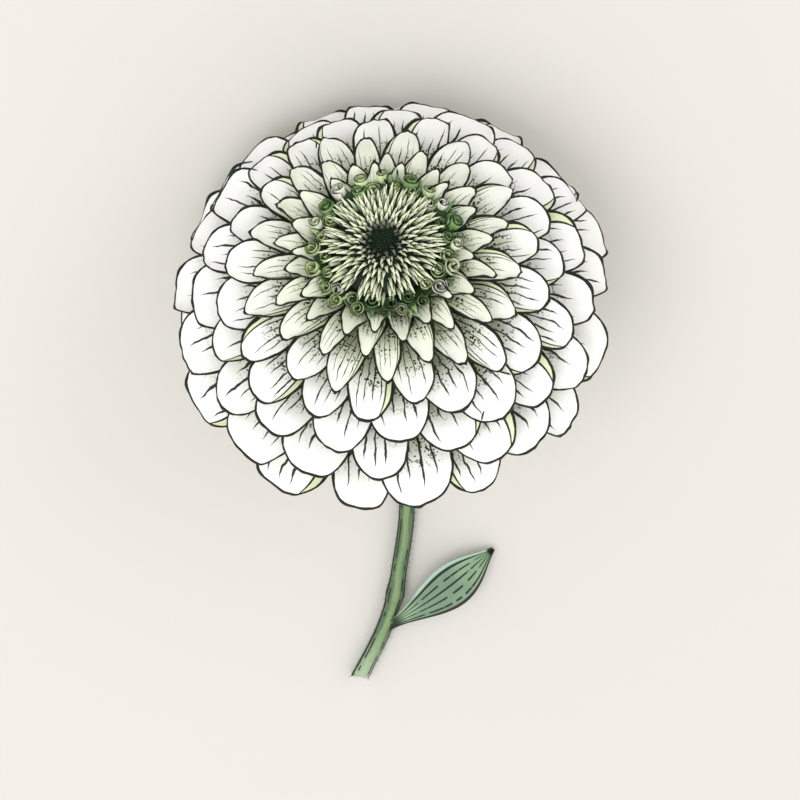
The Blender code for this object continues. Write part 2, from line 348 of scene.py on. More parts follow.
# %% Places round the head
def round_head(turn, place, pitch, twist, size):
    return (
        Matrix.Rotation(turn, 4, "Z")
        @ Matrix.Translation(place)
        @ Matrix.Rotation(-pitch, 4, "Y")
        @ Matrix.Rotation(twist, 4, "X")
        @ Matrix.Diagonal((*size, 1))
    )


def put_on_head(piece, turn=0):
    """Turns a piece to its angle round the head, and bakes its place in."""
    piece.matrix_world = HEAD @ Matrix.Rotation(turn, 4, "Z") @ piece.matrix_world
    apply_place(piece)


def steepness(aim):
    return math.atan2(aim.z, aim.x)


print("a strap that rises as it runs pitches", round(math.degrees(steepness(Vector((1, 0, 1))))), "degrees")

# %% [markdown]
# ## The camera, the table and the light
#
# The flower lies on a pale table and the camera looks down on it with a long lens, so that nearer
# petals aren't made much larger. The camera is turned so that the stem points to the bottom of the
# picture. Large soft lamps keep the shadows light.

# %% Camera
VIEW_ELEVATION = math.radians(70)
VIEW_DISTANCE = 2.4
VIEW_WIDTH = 187 * MM
VIEW_TARGET = HEAD.translation + Vector((-1.7 * MM, 23.6 * MM, 0))
SENSOR_WIDTH = 36
NEAREST_SEEN = 0.1

camera = bpy.data.objects.new("camera", bpy.data.cameras.new("camera"))
bpy.context.scene.collection.objects.link(camera)
towards_camera = Vector((0, -math.cos(VIEW_ELEVATION), math.sin(VIEW_ELEVATION)))
camera_right = Vector((-1, 0, 0))
camera_up = towards_camera.cross(camera_right)
camera_turn = Matrix((camera_right, camera_up, towards_camera)).transposed().to_4x4()
camera.matrix_world = Matrix.Translation(VIEW_TARGET + towards_camera * VIEW_DISTANCE) @ camera_turn
camera.data.sensor_width = SENSOR_WIDTH
camera.data.lens = SENSOR_WIDTH * VIEW_DISTANCE / VIEW_WIDTH
camera.data.clip_start = NEAREST_SEEN
bpy.context.scene.camera = camera
print("lens in mm:", round(camera.data.lens))

# %% [markdown]
# The table is one matt plane in the colour of pale paper. It is a stage, not a piece of the flower.

# %% Table
TABLE_SIZE = 3
TABLE_COLOUR = (0.615, 0.594, 0.567, 1)
TABLE_ROUGHNESS = 0.85
TABLE_GLOSS = 0.2

bpy.ops.mesh.primitive_plane_add(size=TABLE_SIZE)
table = bpy.context.object
table.name = "table"
paper = bpy.data.materials.new("pale_table")
paper.use_nodes = True
table.data.materials.append(paper)
paper_shader = paper.node_tree.nodes["Principled BSDF"]
paper_shader.inputs["Base Color"].default_value = TABLE_COLOUR
paper_shader.inputs["Roughness"].default_value = TABLE_ROUGHNESS
paper_shader.inputs["Specular IOR Level"].default_value = TABLE_GLOSS
print("table:", TABLE_SIZE, "m wide")

# %% [markdown]
# Most of the light comes evenly from all round, so white petals stay white in their hollows. A lamp
# high over the flower shows their shape, and a weaker one on the other side fills its shadows.

# %% Light
SKY_COLOUR = (1, 0.99, 0.97, 1)
SKY_STRENGTH = 1.08
KEY_LAMP = ((0.30, 0.05, 1.05), 0.7, 4.4)
FILL_LAMP = ((-0.8, -0.5, 0.8), 0.8, 2.0)

world = bpy.data.worlds.new("studio")
bpy.context.scene.world = world
world.use_nodes = True
world.node_tree.nodes["Background"].inputs["Color"].default_value = SKY_COLOUR
world.node_tree.nodes["Background"].inputs["Strength"].default_value = SKY_STRENGTH
bpy.context.scene.view_settings.view_transform = "Standard"


def soft_lamp(name, place, size, power):
    lamp = bpy.data.objects.new(name, bpy.data.lights.new(name, "AREA"))
    bpy.context.scene.collection.objects.link(lamp)
    lamp.data.shape = "DISK"
    lamp.data.size = size
    lamp.data.energy = power
    lamp.location = place
    lamp.rotation_euler = (-Vector(place)).to_track_quat("-Z", "Y").to_euler()
    print(name, "in watts:", power)


soft_lamp("key_lamp", *KEY_LAMP)
soft_lamp("fill_lamp", *FILL_LAMP)

# %% [markdown]
# ## Materials
#
# Each material starts from one Principled shader, and its pattern is a formula made of small nodes.
# The helper below adds a node for each step of the formula. Patterns on a petal follow the petal, so
# they read its UV map, where U runs from the claw to the tip and V from side to side.

# %% Small helpers for shader nodes
GLOSS = 0.3


class Shading:
    """Adds nodes to one material, so that a pattern reads like a formula."""

    def __init__(self, name, roughness=0.6):
        self.material = bpy.data.materials.new(name)
        self.material.use_nodes = True
        self.tree = self.material.node_tree
        self.shader = self.tree.nodes["Principled BSDF"]
        self.shader.inputs["Roughness"].default_value = roughness
        self.shader.inputs["Specular IOR Level"].default_value = GLOSS

    def put(self, socket, value):
        if isinstance(value, bpy.types.NodeSocket):
            self.tree.links.new(value, socket)
        else:
            socket.default_value = value

    def fill(self, sockets, values):
        for socket, value in zip(sockets, values):
            self.put(socket, value)

    def node(self, kind, **settings):
        made = self.tree.nodes.new(kind)
        for name, value in settings.items():
            setattr(made, name, value)
        return made

    def maths(self, operation, *values):
        made = self.node("ShaderNodeMath", operation=operation)
        self.fill(made.inputs, values)
        return made.outputs[0]

    def add(self, first, second):
        return self.maths("ADD", first, second)

    def less(self, first, second):
        return self.maths("SUBTRACT", first, second)

    def times(self, first, second):
        return self.maths("MULTIPLY", first, second)

    def size(self, value):
        """The value without its sign."""
        return self.maths("ABSOLUTE", value)

    def most(self, first, *others):
        for other in others:
            first = self.maths("MAXIMUM", first, other)
        return first

    def step(self, value, start, end, to_start=0.0, to_end=1.0):
        """Smooth step from start to end, also downwards."""
        made = self.node("ShaderNodeMapRange", interpolation_type="SMOOTHSTEP")
        self.fill(made.inputs, (value, start, end, to_start, to_end))
        return made.outputs[0]

    def colour(self, share, first, second):
        made = self.node("ShaderNodeMix", data_type="RGBA")
        self.put(made.inputs["Factor"], share)
        self.put(made.inputs["A"], first)
        self.put(made.inputs["B"], second)
        return made.outputs["Result"]

    def stored(self, name):
        return self.node("ShaderNodeAttribute", attribute_name=name).outputs["Fac"]

    def along_and_across(self):
        """The shares along a piece, 0 to 1, and across it, -1 to 1."""
        parts = self.node("ShaderNodeSeparateXYZ")
        self.put(parts.inputs[0], self.node("ShaderNodeTexCoord").outputs["UV"])
        return parts.outputs[0], self.maths("MULTIPLY_ADD", parts.outputs[1], 2.0, -1.0)

    def place(self):
        return self.node("ShaderNodeTexCoord").outputs["Object"]

    def noise(self, vector, scale, detail=2.0):
        made = self.node("ShaderNodeTexNoise")
        self.put(made.inputs["Vector"], vector)
        self.put(made.inputs["Scale"], scale)
        self.put(made.inputs["Detail"], detail)
        return made.outputs["Fac"]

    def vector(self, x, y, z=0.0):
        made = self.node("ShaderNodeCombineXYZ")
        self.fill(made.inputs, (x, y, z))
        return made.outputs[0]

    def relief(self, height, distance, strength):
        bump = self.node("ShaderNodeBump")
        bump.inputs["Strength"].default_value = strength
        bump.inputs["Distance"].default_value = distance
        self.put(bump.inputs["Height"], height)
        self.put(self.shader.inputs["Normal"], bump.outputs[0])

    def finish(self, colour):
        self.put(self.shader.inputs["Base Color"], colour)
        print("material:", self.material.name)
        return self.material


# %% [markdown]
# A petal is white, and greener towards its claw and where it is young. Each petal carries its age, 0
# outside and 1 inside, and a number of its own, so that two petals never have the same pattern.

# %% The white and the green of a petal
WHITE = (0.965, 0.965, 0.945, 1)
YOUNG_WHITE = (0.90, 0.94, 0.76, 1)
CLAW_GREEN = (0.68, 0.75, 0.48, 1)
UNDERSIDE = (0.83, 0.87, 0.66, 1)
YOUNG_AGES = (0.5, 1.0)
CLAW_ENDS = (0.58, 0.66)
CLAW_FADE = 0.2
CLAW_STRENGTHS = (0.3, 0.6)


def petal_ground(petal, along, age, underside):
    youth = petal.step(age, *YOUNG_AGES)
    white = petal.colour(youth, UNDERSIDE if underside else WHITE, YOUNG_WHITE)
    claw_from = petal.step(age, 0.0, 1.0, *CLAW_ENDS)
    claw = petal.step(along, petal.add(claw_from, CLAW_FADE), claw_from)
    claw = petal.times(claw, petal.step(age, 0.0, 1.0, *CLAW_STRENGTHS))
    return petal.colour(claw, white, CLAW_GREEN)


print("green ends at", CLAW_ENDS, "of the petal's length")

# %% [markdown]
# A few dark veins rise from the claw. They are the middles of even stripes across the petal, drifted
# sideways by a noise. Each stripe has its own end, where the vein tapers off.

# %% The veins of a petal
STRIPES = 2.9
DRIFT_STRETCH = (9.0, 2.0)
DRIFT_SCALE = 1.2
DRIFT = 0.25
VEIN_SEED = 3.0
VEIN_CHANCE_SCALE = 1.7
VEIN_CHANCES = (0.3, 0.7)
VEIN_ENDS = (0.83, 0.96)
VEIN_TAPER = 0.08
VEIN_STROKE = 0.10
OLD_AND_YOUNG_STROKE = (0.4, 1.0, 1.0, 0.55)
STROKE_EDGES = (1.3, 0.7)
VEIN_FREE_RIM = (0.85, 0.75)


def petal_veins(petal, along, across, age, chance):
    stretch_along, stretch_across = DRIFT_STRETCH
    own = petal.vector(petal.times(along, stretch_along), petal.times(across, stretch_across), chance)
    drift = petal.times(petal.less(petal.noise(own, DRIFT_SCALE), 0.5), DRIFT)
    stripes = petal.times(petal.add(across, drift), STRIPES)
    from_middle = petal.size(petal.less(petal.maths("FRACT", stripes), 0.5))
    end_chance = petal.vector(petal.maths("FLOOR", stripes), chance, VEIN_SEED)
    end = petal.step(petal.noise(end_chance, VEIN_CHANCE_SCALE, 0.0), *VEIN_CHANCES, *VEIN_ENDS)
    stroke = petal.step(along, end, petal.less(end, VEIN_TAPER), 0.0, VEIN_STROKE)
    stroke = petal.times(stroke, petal.step(age, *OLD_AND_YOUNG_STROKE))
    outer, inner = (petal.times(stroke, share) for share in STROKE_EDGES)
    veins = petal.step(from_middle, outer, inner)
    return petal.times(veins, petal.step(petal.size(across), *VEIN_FREE_RIM))


print("veins in a petal, about", round(2 * STRIPES))

# %% [markdown]
# A fine stipple of painted shade lies in patches between the veins, over the lower part of the
# petal, where it comes out from under the petals above. It thins out before the tip. Its specks are
# the middles of small cells.

# %% The stippled shade of a petal
SHADE_DOT_SCALE = 1250.0
SHADE_DOT_EDGE = (0.42, 0.35)
SHADE_DOTS_END = (0.86, 0.72)
SHADE_PATCH_SCALE = 520.0
SHADE_PATCH_EDGE = (0.46, 0.50)


# Painted shade: a stipple of dark specks over the lower part of the petal, fading before the tip.
def petal_shade_dots(petal, along):
    cells = petal.node("ShaderNodeTexVoronoi")
    petal.put(cells.inputs["Vector"], petal.place())
    petal.put(cells.inputs["Scale"], SHADE_DOT_SCALE)
    stippled_shade = petal.step(cells.outputs["Distance"], *SHADE_DOT_EDGE)
    stippled_shade = petal.times(stippled_shade, petal.step(along, *SHADE_DOTS_END))
    return petal.times(stippled_shade, petal.step(petal.noise(petal.place(), SHADE_PATCH_SCALE), *SHADE_PATCH_EDGE))


print("dots lie about", round(1 / SHADE_DOT_SCALE / MM, 1), "mm apart")

# %% [markdown]
# A dark hairline runs round the rim. It is widest at the tip and changes a little on its way. The
# distance to the rim is stored with the petal, in millimetres. Where a side of the petal is folded
# up, a second line marks the crease. The strip beyond it is the inside of the raised margin, and it is
# painted a pale yellow green that stands for its shade.

# %% The rim, the crease and the painted shade of the fold
FOLD_SHADE = (0.74, 0.80, 0.52, 1)
RIM_SCALE = 160.0
RIM_CHANCES = (0.3, 0.7)
RIM_WIDTHS = (0.44, 0.76)
RIM_GROWTH = (0.2, 0.7, 0.25, 1.0)
RIM_SOFT = 0.09
RIM_INK = 0.995
CREASE_AT = 0.71
CREASE_EDGE = (0.045, 0.02)
CREASE_FROM = (0.5, 0.6)
FOLD_SHADE_SOFT = 0.03


def petal_rim(petal, along):
    width = petal.step(petal.noise(petal.place(), RIM_SCALE), *RIM_CHANCES, *RIM_WIDTHS)
    width = petal.times(width, petal.step(along, *RIM_GROWTH))
    return petal.step(petal.stored("rim"), petal.add(width, RIM_SOFT), width)


def petal_crease(petal, along, curl):
    crease = petal.step(petal.size(petal.less(curl, CREASE_AT)), *CREASE_EDGE)
    return petal.times(crease, petal.step(along, *CREASE_FROM))


# Painted shade: the raised strip beyond the crease is coloured a pale yellow green.
def petal_fold_shade(petal, curl, ground):
    return petal.colour(petal.step(curl, CREASE_AT, CREASE_AT + FOLD_SHADE_SOFT), ground, FOLD_SHADE)


print("rim lines in mm:", RIM_WIDTHS)

# %% [markdown]
# The two petal materials share all of this. The underside is a pale yellow green with fainter veins.
# Fine ridges run along both sides, and some light passes through.

# %% Petal materials
LINE_COLOUR = (0.007, 0.010, 0.006, 1)
PETAL_ROUGHNESS = 0.55
PETAL_GLOSS = 0.12
TOP_INK = 0.98
UNDERSIDE_INK = 0.3
RIDGES_ACROSS = 6.0
RIDGE_WOBBLE = 1.5
RIDGE_HEIGHT = 0.12 * MM
RIDGE_STRENGTH = 0.5
GLOW = 0.35
GLOW_COLOUR = (1.0, 1.0, 0.85)
GLOW_DEPTH = 2 * MM


def petal_ridges(petal, along, across):
    ridges = petal.node("ShaderNodeTexWave", bands_direction="Y")
    petal.put(ridges.inputs["Vector"], petal.vector(along, petal.times(across, RIDGES_ACROSS)))
    petal.put(ridges.inputs["Scale"], 1.0)
    petal.put(ridges.inputs["Distortion"], RIDGE_WOBBLE)
    petal.relief(ridges.outputs["Fac"], RIDGE_HEIGHT, RIDGE_STRENGTH)


def petal_material(name, underside):
    petal = Shading(name, PETAL_ROUGHNESS)
    along, across = petal.along_and_across()
    age, chance = petal.stored("age"), petal.stored("chance")
    curl = petal.times(across, petal.stored("curl"))
    ink = UNDERSIDE_INK if underside else TOP_INK
    veins = petal.times(petal_veins(petal, along, across, age, chance), ink)
    # The stipple is painted shade, at full strength on the top and fainter on the underside.
    shade_dots = petal.times(petal_shade_dots(petal, along), ink)
    edges = petal.times(petal.most(petal_rim(petal, along), petal_crease(petal, along, curl)), RIM_INK)
    # The folded strip gets its painted shade here.
    ground = petal_fold_shade(petal, curl, petal_ground(petal, along, age, underside))
    petal_ridges(petal, along, across)
    petal.shader.inputs["Specular IOR Level"].default_value = PETAL_GLOSS
    petal.shader.inputs["Subsurface Weight"].default_value = GLOW
    petal.shader.inputs["Subsurface Radius"].default_value = GLOW_COLOUR
    petal.shader.inputs["Subsurface Scale"].default_value = GLOW_DEPTH
    return petal.finish(petal.colour(petal.most(veins, shade_dots, edges), ground, LINE_COLOUR))


petal_top = petal_material("petal_top", underside=False)
petal_back = petal_material("petal_back", underside=True)

# %% [markdown]
# ## One petal as a pattern
#
# A petal has a narrow claw and a broad, hollowed limb with a round or slightly pointed end. It is
# modelled flat from a grid: its rows are narrowed to the outline, and its columns are lifted and drawn
# back, which hollows it and rounds its end. Two columns on each side are left lower, as grooves.

# %% The outline and the fold of a petal
PETAL_GRID = (18, 12)
CLAW_WIDTH = 0.1
CLAW_LENGTH = 0.1
CURL_RISE = (0.5, 0.75)
CURL_TIP = (0.9, 1)
CURL_AT_TIP = 0.6
CURL_COLUMNS = ((2 / 3, -0.05, 0), (5 / 6, -0.04, 0.03), (1, 0.06, 0.09))


def outline(along, widest_at, end_width):
    """Half width of the petal, as a share of its widest."""
    limb = mix(CLAW_WIDTH, 1, smooth(CLAW_LENGTH, widest_at, along))
    past = max(0, along - widest_at) / (1 - widest_at)
    return limb * math.sqrt(1 - (1 - end_width**2) * past**2)


def curl_side(side):
    """Bends one side of the limb up along a crease, so that it stands as a strip, which the material paints
    pale green as shade.
    """
    for share in shares(PETAL_GRID[0]):
        roll = smooth(*CURL_RISE, share) * mix(1, CURL_AT_TIP, smooth(*CURL_TIP, share))
        for out, lift, outward in CURL_COLUMNS:
            pick_grid(PETAL_GRID, lambda along, across: same(along, share) and same(across, side * out))
            bpy.ops.transform.translate(value=(0, side * outward * roll, lift * roll))


print("half width of the claw:", round(outline(0, 0.87, 0.69), 2))

# %% [markdown]
# Six patterns are enough: broad, tipped and curled ones for the outer rows, narrow ones for the inner
# rows. The group "wavy" says where a petal may wave later: at its rim and tip, and not at its claw.

# %% Petal patterns
DRAW_POWER = 2.4
GROOVES = (1 / 3, 2 / 3)
GROOVE_DEPTH = 0.07
TIP_ROW = 0.99
WAVY_POWER = 3
WAVY_TIP = (0.75, 1)
WAVY_LIMB = (0.3, 0.8)
# Widest at, width at the end, how far its sides are drawn back, its point, and its curled side.
OUTER_SHAPES = {
    "broad": (0.87, 0.69, 0.075, 0.003, 0),
    "tipped": (0.86, 0.62, 0.075, 0.01, 0),
    "curled_left": (0.86, 0.66, 0.08, 0.0, 1),
    "curled_right": (0.86, 0.64, 0.08, 0.004, -1),
}
INNER_SHAPES = {
    "narrow": (0.80, 0.44, 0.10, 0.014, 0),
    "narrow_curled": (0.78, 0.42, 0.10, 0.014, 1),
}


def petal_pattern(name, widest_at, end_width, drawn_back, point, curled):
    def hollow(out):
        groove = GROOVE_DEPTH if any(same(out, place) for place in GROOVES) else 0
        return -drawn_back * out**DRAW_POWER, 0, out * out - groove

    pattern = flat_grid(f"{name}_pattern", PETAL_GRID)
    narrow_rows(PETAL_GRID, lambda share: outline(share, widest_at, end_width))
    lift_columns(PETAL_GRID, hollow)
    pick_grid(PETAL_GRID, lambda along, across: along > TIP_ROW and same(across, 0))
    bpy.ops.transform.translate(value=(point, 0, 0))
    if curled:
        curl_side(curled)
    bpy.ops.object.mode_set(mode="OBJECT")
    wavy = pattern.vertex_groups.new(name="wavy")
    for corner in pattern.data.vertices:
        along, across = grid_place(corner.index, PETAL_GRID)
        weight = max(abs(across) ** WAVY_POWER, smooth(*WAVY_TIP, along)) * smooth(*WAVY_LIMB, along)
        wavy.add([corner.index], weight, "REPLACE")
    return pattern, curled


OUTER_PATTERNS = [petal_pattern(name, *shape) for name, shape in OUTER_SHAPES.items()]
INNER_PATTERNS = [petal_pattern(name, *shape) for name, shape in INNER_SHAPES.items()]
print("corners in a petal pattern:", len(OUTER_PATTERNS[0][0].data.vertices))

# %% [markdown]
# ## From a pattern to a petal
#
# Each petal is a copy, scaled to its own length and width and bent along its own rib. The lowest
# petals carry the head, so they are pressed up where they lie on the table.

# %% Ribs as curves, and the press of the table
RIB_STEPS = 24
PETAL_WALL = 0.42 * MM
PRESSED_BELOW = 14 * MM
PRESS = 7 * MM


def rib_curve(points):
    curve = bpy.data.curves.new("rib", "CURVE")
    curve.dimensions = "3D"
    curve.resolution_u = RIB_STEPS
    curve.twist_mode = "Z_UP"
    spline = curve.splines.new("BEZIER")
    spline.bezier_points.add(1)
    first, last = spline.bezier_points
    first.co, first.handle_right, last.handle_left, last.co = points
    first.handle_left = first.co * 2 - first.handle_right
    last.handle_right = last.co * 2 - last.handle_left
    made = bpy.data.objects.new("rib", curve)
    bpy.context.collection.objects.link(made)
    return made


def press_on_table(piece):
    for corner in piece.data.vertices:
        if corner.co.z < PRESSED_BELOW:
            share = (PRESSED_BELOW - corner.co.z) / (PRESSED_BELOW + PRESS)
            corner.co.z = max(PETAL_WALL / 2, corner.co.z + PRESS * share**2)


print("petals are pressed up below", round(PRESSED_BELOW / MM), "mm")

# %% [markdown]
# No two petals are alike, so each takes its width, hollow, length and lean by chance. The random
# numbers come from one seeded source, so each run makes the same flower. The material's values are
# stored with the petal before it is bent, while its place in the grid is still plain to see.

# %% A petal's chances, and the values for its material
chance_of = random.Random(7)
INNER_LEVEL = 0.72
HOLLOWS = (2.3 * MM, 1.3 * MM)
WIDTH_CHANCE = (0.86, 1.14)
HOLLOW_CHANCE = (0.7, 1.3)
LENGTH_CHANCE = (0.99, 1.06)
ROLL_CHANCE = (-0.16, 0.16)
SWAY_CHANCE = (-0.03, 0.03)
TIP_CHANCE = (-0.22, 0.22)
CHANCES = (0, 50)
LEAN_CHANCE = (-0.035, 0.035)
MEAN_OUTLINE = (0.84, 0.6)


def store_petal_values(piece, widest, length, level, curl):
    places = [grid_place(corner.index, PETAL_GRID) for corner in piece.data.vertices]
    for corner, (along, across) in zip(piece.data.vertices, places):
        if same(along, 1):
            corner.co.x += chance_of.uniform(*TIP_CHANCE) * MM
    rims = []
    for along, across in places:
        to_side = (1 - abs(across)) * outline(along, *MEAN_OUTLINE) * widest
        rims.append(min(to_side, (1 - along) * length) / MM)
    store(piece, "rim", rims)
    store(piece, "age", [level] * len(places))
    store(piece, "chance", [chance_of.uniform(*CHANCES)] * len(places))
    store(piece, "curl", [curl] * len(places))


print("a petal's width varies by", WIDTH_CHANCE)

# %% [markdown]
# One outer petal hangs over the top of the stem. It is larger than its neighbours and leans towards
# the stem, so that it hides the neck.

# %% One petal in its place
WAVE_SIZE = 6 * MM
WAVE_STRENGTH = 2.8 * MM
OVER_STEM_RANK = 19
OVER_STEM_LEAN = math.radians(-3.5)
OVER_STEM_GROWTH = 1.09

waves = bpy.data.textures.new("rim_waves", "CLOUDS")
waves.noise_scale = WAVE_SIZE


def wave_rim(piece):
    wave = piece.modifiers.new("wave", "DISPLACE")
    wave.texture = waves
    wave.texture_coords = "GLOBAL"
    wave.vertex_group = "wavy"
    wave.direction = "NORMAL"
    wave.strength = WAVE_STRENGTH


def petal(rank, name, points, narrowing):
    level = min(1, rank / (PETALS - 1))
    growth, lean = (OVER_STEM_GROWTH, OVER_STEM_LEAN) if rank == OVER_STEM_RANK else (1, 0)
    pattern, curl = chance_of.choice(INNER_PATTERNS if level > INNER_LEVEL else OUTER_PATTERNS)
    piece = copy_of(pattern, name)
    guide = rib_curve(points)
    length = guide.data.splines[0].calc_length()
    spread = points[3].x * math.tan(math.pi / PETALS_IN_ROW)
    widest = spread * narrowing * chance_of.uniform(*WIDTH_CHANCE)
    hollow = mix(*HOLLOWS, level) * chance_of.uniform(*HOLLOW_CHANCE)
    piece.scale = (length * growth * chance_of.uniform(*LENGTH_CHANCE), widest * growth, hollow)
    piece.rotation_euler = (chance_of.uniform(*ROLL_CHANCE), 0, chance_of.uniform(*SWAY_CHANCE))
    apply_place(piece)
    bpy.context.view_layer.update()
    store_petal_values(piece, widest, length, level, curl)

    bend_along(piece, guide)
    wave_rim(piece)
    apply_modifiers(piece)
    lean += chance_of.uniform(*LEAN_CHANCE)
    put_on_head(piece, HEAD_SPIN + rank * GOLDEN_ANGLE + lean)
    press_on_table(piece)
    piece.data.materials.append(petal_top)
    piece.data.materials.append(petal_back)
    give_wall(piece, PETAL_WALL, offset=0, material_offset=1)
    round_off(piece)
    apply_modifiers(piece)
    remove(guide)
    shade_smooth(piece)
    return piece


print("petal over the stem:", OVER_STEM_RANK + 1)

# %% [markdown]
# ## The petals
#
# The 42 petals of the two outer rows are single pieces, which can be pulled off one by one.

# %% The two outer rows, petal by petal
LOOSE_ROWS = 2
OUTER_WIDTH = 1.14

for rank in range(LOOSE_ROWS * PETALS_IN_ROW):
    row, place = divmod(rank, PETALS_IN_ROW)
    node = f"petal_row{row + 1}_{place + 1:02d}"
    made = petal(rank, f"{node}_limb", rib(rank), OUTER_WIDTH)
    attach(made, "root")
    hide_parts(node)
print("triangles in a petal:", triangles(made))

# %% [markdown]
# The inner rows stand so close that each is joined to one piece. The innermost row also takes a ring
# of small young petals, which only just reach out from under the rolled florets.

# %% The inner rows, each joined to one piece
INNER_WIDTHS = (1.10, 0.84)
YOUNG_WIDTH = 0.95
YOUNG_START = Vector((4.9 * MM, 0, 17 * MM))
YOUNG_TIPS = (55.5, 61)
YOUNG_LEAVING = math.radians(55)
YOUNG_ARRIVING = math.radians(8)


def young_petals():
    made = []
    for number in range(PETALS_IN_ROW):
        end = dome_point(angle_mix(YOUNG_TIPS, number / PETALS_IN_ROW))
        points = rib_between(YOUNG_START, end, YOUNG_LEAVING, YOUNG_ARRIVING)
        made.append(petal(PETALS + number, "young_petal", points, YOUNG_WIDTH))
    return made


for row in range(LOOSE_ROWS, ROWS):
    narrowing = mix(*INNER_WIDTHS, (row - LOOSE_ROWS) / (ROWS - 1 - LOOSE_ROWS))
    ranks = range(row * PETALS_IN_ROW, (row + 1) * PETALS_IN_ROW)
    petals = [petal(rank, "petal", rib(rank), narrowing) for rank in ranks]
    if row == ROWS - 1:
        petals += young_petals()
    whorl = join(petals, f"petal_row{row + 1}_whorl")
    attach(whorl, "root")
    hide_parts(f"petal_row{row + 1}")
    print(whorl.name, "triangles:", triangles(whorl))

remove(*(pattern for pattern, curl in OUTER_PATTERNS + INNER_PATTERNS))

# %% [markdown]
# ## Green materials
#
# The small green pieces need two kinds of finish. Solid bodies are mottled in one colour. Straps are
# shaded from base to tip, with streaks along them and dark lines on their rims and maybe their end.

# %% Green materials
MOTTLE_SCALE = 500.0
MOTTLE_EDGE = (0.35, 0.65)
MOTTLE_DARK = 0.7
CORE_COLOUR = (0.010, 0.022, 0.010, 1)
STRAP_ROUGHNESS = 0.55
STRAP_SHADING = (0.1, 0.6)
STREAK_STRETCH = (1.5, 9.0)
STREAK_EDGE = (0.62, 0.38, 0.0, 0.6)
STREAK_DARK = 0.6
STRAP_RIM_SOFT = 0.12
STRAP_END_SOFT = 0.03
NO_LINE = 2.0


def darker(colour, share):
    return (*(share * part for part in colour[:3]), 1)


def plain(name, colour, roughness=0.6):
    made = Shading(name, roughness)
    mottle = made.step(made.noise(made.place(), MOTTLE_SCALE), *MOTTLE_EDGE)
    return made.finish(made.colour(mottle, darker(colour, MOTTLE_DARK), colour))


def lined_material(name, base, tip, line_at, end_at=NO_LINE):
    strap = Shading(name, STRAP_ROUGHNESS)
    along, across = strap.along_and_across()
    body = strap.colour(strap.step(along, *STRAP_SHADING), base, tip)
    stretch_along, stretch_across = STREAK_STRETCH
    streaks = strap.vector(strap.times(along, stretch_along), strap.times(across, stretch_across))
    streaks = strap.step(strap.noise(streaks, 1.0), *STREAK_EDGE)
    body = strap.colour(streaks, body, darker(tip, STREAK_DARK))
    body = strap.colour(strap.step(strap.stored("age"), 0.0, 1.0), body, CORE_COLOUR)
    rim = strap.step(strap.size(across), line_at, line_at + STRAP_RIM_SOFT)
    end = strap.step(along, end_at, end_at + STRAP_END_SOFT)
    return strap.finish(strap.colour(strap.most(rim, end), body, LINE_COLOUR))


# %% [markdown]
# ## The button of disc florets
#
# The middle of the flower is a low dome of some three hundred and fifty thin florets. A dark solid
# body under them closes the gaps. It is extruded from a disc, ring by ring.

# %% The body of the button
TURNED_SIDES = 32
BUTTON_PROFILE = (
    (3.5, 19.5), (5.2, 24), (8.6, 29.2), (11.8, 33.4), (12.2, 34.8), (10, 36.8), (6, 38), (2, 38.4)
)


def turned(name, profile, sides=TURNED_SIDES):
    """Extrudes a disc through rings of the given radii and heights, in millimetres."""
    rings = [(radius * MM, height * MM) for radius, height in profile]
    radius, height = rings[0]
    bpy.ops.mesh.primitive_circle_add(
        vertices=sides, radius=radius, fill_type="NGON", location=(0, 0, height)
    )
    piece = bpy.context.object
    piece.name = piece.data.name = name
    bpy.ops.object.mode_set(mode="EDIT")
    bpy.ops.mesh.select_all(action="SELECT")
    for next_radius, next_height in rings[1:]:
        bpy.ops.mesh.extrude_region_move(TRANSFORM_OT_translate={"value": (0, 0, next_height - height)})
        grow = next_radius / radius
        bpy.ops.transform.resize(value=(grow, grow, 1), center_override=(0, 0, next_height))
        radius, height = next_radius, next_height
    bpy.ops.mesh.select_all(action="SELECT")
    bpy.ops.mesh.normals_make_consistent(inside=False)
    bpy.ops.object.mode_set(mode="OBJECT")
    return piece


button_core = turned("disc_body", BUTTON_PROFILE)
button_core.data.materials.append(plain("dark_core", CORE_COLOUR))
put_on_head(button_core)
print("button's body, triangles:", triangles(button_core))

# %% [markdown]
# The florets stand in the same golden spiral as the petals, and lean outwards more and more. A floret
# is a narrow strap, arched along its length and hollowed across it. Three straps are modelled and
# copied, with other sizes and twists, because so thin a piece is seen only in the mass.

# %% One strand as a pattern
STRAND_GRID = (5, 2)
STRAND_WIDTHS = (0.8, 0.22)
STRAND_BELLY = 0.5
STRAND_HOLLOW = 0.5
STRAND_WALL = 0.3
STRAND_SHAPES = ((1.2, 0.8), (0.6, 1.6), (1.8, 2.2))
BUTTON_CURVE = ((0, 38.3), (4, 38.2), (7, 37.5), (10, 36.2), (12, 34.4))


def button_height(radius):
    """Height of the button's skin at this radius."""
    for (r0, h0), (r1, h1) in zip(BUTTON_CURVE, BUTTON_CURVE[1:]):
        if radius <= r1 * MM:
            return mix(h0, h1, (radius / MM - r0) / (r1 - r0)) * MM
    return h1 * MM


def strand_width(share):
    return mix(*STRAND_WIDTHS, share**2) * (1 + STRAND_BELLY * math.sin(math.pi * share))


def strand_pattern(name, arch, droop):
    pattern = flat_grid(name, STRAND_GRID)
    narrow_rows(STRAND_GRID, strand_width)
    lift_columns(STRAND_GRID, lambda out: (0, 0, STRAND_HOLLOW * out))
    raise_rows(STRAND_GRID, lambda share: arch * math.sin(math.pi * share) - droop * share**3)
    bpy.ops.object.mode_set(mode="OBJECT")
    give_wall(pattern, STRAND_WALL)
    apply_modifiers(pattern)
    return pattern


strand_patterns = [strand_pattern("strand", *shape) for shape in STRAND_SHAPES]
print("triangles in a strand:", triangles(strand_patterns[0]))

# %% [markdown]
# Two hundred and ninety strands stand round the middle. The innermost are short, upright and dark.

